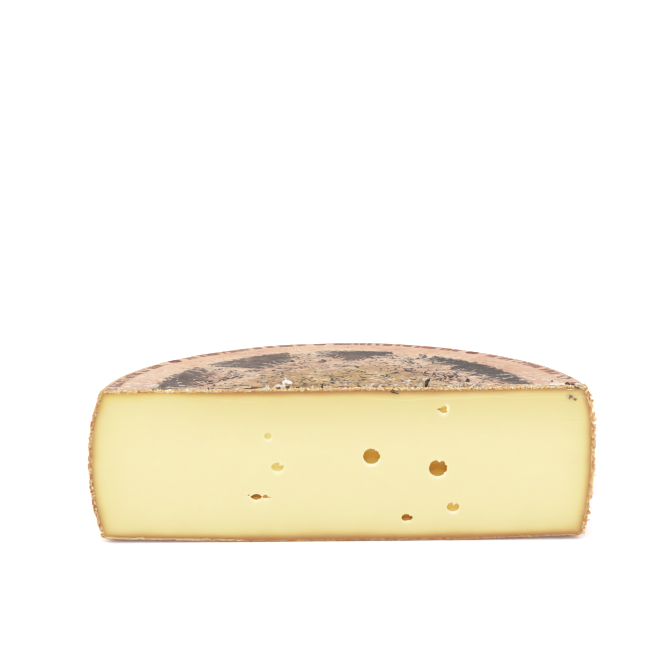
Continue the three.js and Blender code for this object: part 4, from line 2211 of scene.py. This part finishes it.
FLAKES = (
    Flake(43.4, 7.4, 4.6, 0.62, lean=-8.0, curl=40.0, narrowing=0.7, skew=0.42),
    # A dark flake right of the beige one, standing for the shade beside it: painted shade.
    Flake(46.8, 3.6, 4.4, 0.08, lean=14.0, curl=-30.0, turn=14.0, narrowing=0.5, skew=0.5),
    Flake(48.4, 4.4, 1.3, 0.86, lean=25.0, curl=60.0, turn=-14.0, y=1.4, drop=-4.2),
    Flake(41.0, 5.5, 1.6, 0.6, lean=-45.0, curl=50.0, turn=5.0, skew=-0.3),
    Flake(66.6, 6.2, 2.2, 0.7, lean=-35.0, curl=70.0, turn=16.0, skew=-0.3),
    Flake(72.0, 4.4, 3.4, 0.58, lean=8.0, curl=60.0, turn=-16.0, narrowing=0.4, skew=-0.2),
    Flake(72.6, 2.4, 2.2, 0.1, lean=0.0, curl=20.0, turn=10.0, drop=-3.0, y=1.2),
    Flake(75.2, 3.4, 1.9, 0.66, lean=-30.0, curl=50.0, skew=0.3),
    Flake(-52.0, 4.6, 1.5, 0.3, lean=-30.0, curl=50.0, turn=6.0),
    Flake(-56.5, 5.4, 1.2, 0.06, lean=-50.0, curl=40.0, turn=-4.0, y=0.4),
    Flake(-46.6, 5.6, 1.4, 0.9, lean=-40.0, curl=40.0, turn=4.0, y=0.4, skew=0.2),
    Flake(-44.4, 3.6, 2.4, 0.97, lean=-15.0, curl=60.0, turn=8.0, narrowing=0.75, skew=-0.1),
    Flake(-39.4, 6.4, 2.4, 0.92, lean=-15.0, curl=50.0, turn=-8.0, skew=0.3),
    Flake(
        -33.4, 6.0, 2.6, 0.98, lean=20.0, curl=50.0, turn=12.0, narrowing=0.2, drop=-3.0, y=1.4, skew=0.2
    ),
    Flake(-34.8, 3.4, 3.6, 0.9, lean=5.0, curl=40.0, turn=-26.0, narrowing=0.5, skew=0.2),
    Flake(-38.2, 3.0, 1.3, 0.34, lean=-25.0, curl=30.0, turn=-5.0, y=0.1),
    Flake(-32.6, 4.6, 1.6, 0.12, lean=-20.0, curl=40.0, turn=12.0, y=0.6),
    Flake(-30.6, 2.4, 1.6, 0.7, lean=-20.0, curl=50.0, turn=-20.0, y=0.2),
    Flake(-27.0, 2.4, 1.1, 0.12, lean=-40.0, curl=30.0),
    Flake(-18.4, 2.0, 2.0, 0.9, lean=-20.0, curl=40.0, turn=30.0),
    Flake(-9.4, 6.6, 1.3, 0.9, lean=-40.0, curl=40.0, y=1.0),
    Flake(-12.4, 1.8, 1.9, 0.06, lean=-20.0, curl=30.0, turn=-10.0),
    Flake(9.0, 2.6, 1.4, 0.15, lean=-30.0, curl=40.0),
    Flake(13.0, 2.6, 1.4, 0.85, lean=-30.0, curl=40.0),
    Flake(30.8, 4.0, 1.7, 0.7, lean=-30.0, curl=60.0, turn=12.0),
    Flake(99.0, 3.6, 1.4, 0.85, lean=-35.0, curl=40.0),
    Flake(106.0, 3.4, 1.2, 0.9, lean=-35.0, curl=40.0),
    Flake(112.0, 2.8, 1.4, 0.95, lean=-35.0, curl=40.0),
    Flake(125.0, 10.0, 5.5, 0.9, lean=80.0, curl=6.0, y=0.4, drop=-0.35, skew=0.1),
    Flake(122.8, 1.2, 1.3, 0.12, lean=-30.0, curl=30.0, y=4.0, drop=-1.2),
    Flake(131.2, 3.4, 1.3, 0.24, lean=-10.0, curl=50.0, turn=30.0, y=1.6, drop=-0.3),
    Flake(133.6, 3.0, 2.0, 0.3, lean=-30.0, curl=50.0, turn=-12.0, y=0.4, drop=0.4),
    Flake(136.2, 4.4, 1.1, 0.1, lean=-50.0, curl=60.0, turn=22.0, y=-0.1, drop=1.3),
    Flake(132.8, 4.2, 0.9, 0.9, lean=-60.0, curl=50.0, turn=8.0, y=-0.1, drop=2.4),
    Flake(137.6, 4.6, 1.3, 0.97, lean=-30.0, curl=60.0, turn=10.0, y=0.4, drop=-0.4),
    Flake(139.6, 3.6, 1.0, 0.9, lean=-60.0, curl=40.0, turn=38.0, y=-0.2, drop=1.6),
    Flake(30.0, 4.4, 1.9, 0.12, lean=-75.0, curl=40.0, turn=8.0, y=-0.2, drop=3.2),
    Flake(28.0, 1.8, 1.1, 0.4, lean=-75.0, curl=40.0, turn=20.0, y=-0.2, drop=2.5),
    Flake(31.0, 1.6, 0.9, 0.9, lean=-75.0, curl=40.0, turn=10.0, y=-0.4, drop=2.7),
    Flake(133.4, 2.4, 2.1, 0.4, lean=-70.0, curl=70.0, turn=-25.0, y=-0.15, drop=7.4),
    Flake(135.2, 2.2, 1.5, 0.44, lean=-70.0, curl=50.0, turn=30.0, y=-0.15, drop=8.4),
    Flake(131.6, 1.8, 0.8, 0.9, lean=-70.0, curl=50.0, turn=10.0, y=-0.15, drop=6.6),
)


@dataclass
class LabelFlakes:
    """Torn bits of the label that the knife lifted along the cut."""

    form: WheelForm
    flakes: tuple[Flake, ...] = FLAKES
    rows: int = 9
    columns: int = 15
    thickness: float = 0.14

    def build(self) -> Object:
        """Builds every flake.

        Returns:
            One object that holds them all, without materials.
        """
        draft = MeshDraft()
        for index, flake in enumerate(self.flakes):
            self._add(draft, flake, index)
        return draft.to_object("label_flakes", self.form)

    def _add(self, draft: MeshDraft, flake: Flake, index: int) -> None:
        """One flake: a small sheet, narrower and torn at its end, that bends as it rises.

        Args:
            draft: Takes the flake.
            flake: The flake.
            index: Picks its raggedness.
        """
        across = np.linspace(-0.5, 0.5, self.columns)
        line = np.column_stack([across * flake.width, across * 0, across * 0])
        torn = 1.0 + 0.6 * ripple(line, 1.3, 80 + index) + 0.45 * ripple(line, 0.6, 180 + index)
        height, depth, bend = 0.0, 0.0, math.radians(flake.lean)
        step = flake.height / (self.rows - 1)
        rows = []
        for row in range(self.rows):
            share = row / (self.rows - 1)
            width = flake.width * (1 - flake.narrowing * share**1.3)
            sag = 0.18 * flake.width * (across**2) * share
            side = across * width + flake.skew * flake.width * share
            rows.append(np.column_stack([side, depth * torn - sag, height * torn]))
            height += step * math.cos(bend)
            depth += step * math.sin(bend)
            bend += math.radians(flake.curl) / (self.rows - 1)
        points = np.vstack(rows)
        shake = [ripple(points, size, 90 + index) for size in (0.9, 0.8, 0.7)]
        points = points + 0.3 * np.column_stack(shake)
        turned = np.array(Matrix.Rotation(math.radians(flake.turn), 3, "Y"))
        points = points @ turned.T
        root = np.array([[flake.x, flake.y, 0.0]])
        root[0, 2] = float(self.form.top_height(root)[0]) - flake.drop
        front = points + root
        back = front + [0.0, self.thickness, 0.02]
        count, columns = len(front), self.columns
        faces = []
        for row in range(self.rows - 1):
            for column in range(columns - 1):
                low = row * columns + column
                corners = [low, low + 1, low + columns + 1, low + columns]
                faces += [corners, [count + corner for corner in reversed(corners)]]
        border = [*range(columns), *range(2 * columns - 1, count, columns)]
        border += [*range(count - 2, count - columns - 1, -1), *range(count - 2 * columns, 0, -columns)]
        faces += border_walls(border, count)
        print_left = 0.3 * ripple(front, 1.1, 130 + index)
        tones = np.clip(flake.tone + np.concatenate([print_left, print_left]), 0.0, 1.0)
        draft.add(np.vstack([front, back]), faces, tone=tones)

    def dress(self, obj: Object, effects: SharedEffects) -> None:
        """Colours the flakes from printed dark grey to bare torn paper; one dark flake is painted shade.

        Args:
            obj: The piece's object.
            effects: The shared effects.
        """
        finish = ScrapFinish(
            "torn_label",
            (
                (0.0, (58, 50, 50)),
                (0.2, (104, 78, 70)),
                (0.34, (150, 92, 70)),
                (0.48, (178, 138, 112)),
                (0.65, (206, 190, 160)),
                (0.85, (240, 226, 208)),
                (1.0, (252, 244, 240)),
            ),
        )
        settle(obj, [finish.material(self.form, effects)])


# ---- Studio ----


@dataclass(frozen=True)
class Studio:
    """Plain pale floor, soft light and the camera."""

    floor_size: float = 8.0
    floor_gap: float = 0.0002
    floor_shade: tuple[float, float, float] = (0.93, 0.94, 0.955)
    floor_glow: float = 0.1
    world_strength: float = 1.01
    overhead: float = 1.6
    overhead_spread: float = 90.0
    overhead_tilt: tuple[float, float] = (18.0, -15.0)
    camera_side: float = -0.01655
    camera_distance: float = 0.54986
    camera_height: float = 0.22567
    camera_pitch: float = 9.70
    camera_turn: float = 0.60
    camera_roll: float = -0.245
    lens: float = 53.49

    def build(self, form: WheelForm) -> None:
        """Builds floor, world, lights and camera.

        Args:
            form: Says where the cut face is, which the camera's distance is from.
        """
        self._floor()
        self._world()
        self._overhead()
        self._camera(form)
        bpy.context.scene.view_settings.view_transform = "Standard"
        bpy.context.scene.cycles.use_denoising = True
        bpy.context.scene.cycles.filter_width = 1.1

    def _floor(self) -> None:
        """A wide matt white table."""
        half = self.floor_size / 2
        mesh = bpy.data.meshes.new("floor")
        corners = [(-half, -half), (half, -half), (half, half), (-half, half)]
        mesh.from_pydata([(x, y, -self.floor_gap) for x, y in corners], [], [(0, 1, 2, 3)])
        floor = bpy.data.objects.new("floor", mesh)
        bpy.context.scene.collection.objects.link(floor)
        material, sketch, shader = new_material("white_table")
        matt = {
            "Base Color": (*self.floor_shade, 1.0),
            "Emission Color": (*self.floor_shade, 1.0),
            "Emission Strength": self.floor_glow,
            "Roughness": 0.7,
            "Specular IOR Level": 0.2,
        }
        sketch.feed(shader, matt)
        mesh.materials.append(material)

    def _world(self) -> None:
        """Even white light from all round."""
        world = bpy.data.worlds.new("studio")
        world.use_nodes = True
        background = world.node_tree.nodes["Background"]
        background.inputs["Color"].default_value = (1.0, 1.0, 1.0, 1.0)
        background.inputs["Strength"].default_value = self.world_strength
        bpy.context.scene.world = world

    def _overhead(self) -> None:
        """A very large soft light overhead, tipped a little towards the camera."""
        data = bpy.data.lights.new("overhead_softlight", "SUN")
        data.energy = self.overhead
        data.angle = math.radians(self.overhead_spread)
        light = bpy.data.objects.new("overhead_softlight", data)
        light.rotation_euler = [math.radians(angle) for angle in self.overhead_tilt] + [0.0]
        bpy.context.scene.collection.objects.link(light)

    def _camera(self, form: WheelForm) -> None:
        """The camera, square to the cut face and looking down a little.

        Args:
            form: The wheel's form.
        """
        data = bpy.data.cameras.new("camera")
        data.lens = self.lens
        data.sensor_width = 36.0
        data.clip_start, data.clip_end = 0.01, 50.0
        camera = bpy.data.objects.new("camera", data)
        place = Vector((self.camera_side, form.cut_y * MM - self.camera_distance, self.camera_height))
        turn = Matrix.Rotation(math.radians(-self.camera_turn), 4, "Z")
        pitch = Matrix.Rotation(math.radians(90.0 - self.camera_pitch), 4, "X")
        roll = Matrix.Rotation(math.radians(self.camera_roll), 4, "Z")
        camera.matrix_world = Matrix.Translation(place) @ turn @ pitch @ roll
        bpy.context.scene.collection.objects.link(camera)
        bpy.context.scene.camera = camera


def main() -> None:
    """Builds the half wheel and its studio."""
    logging.basicConfig(level=logging.INFO, format="%(message)s")
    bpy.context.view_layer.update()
    form = WheelForm.from_frame()
    effects = SharedEffects.build()
    body = CheeseBody(form, CutEdge(form))
    parts = (body, TopLabel(form), RindCrumbs(body), LabelFlakes(form))
    for part in parts:
        obj = part.build()
        part.dress(obj, effects)
        log.info("%s: %d faces", obj.name, len(obj.data.polygons))
    Studio().build(form)


if __name__ == "__main__":
    main()
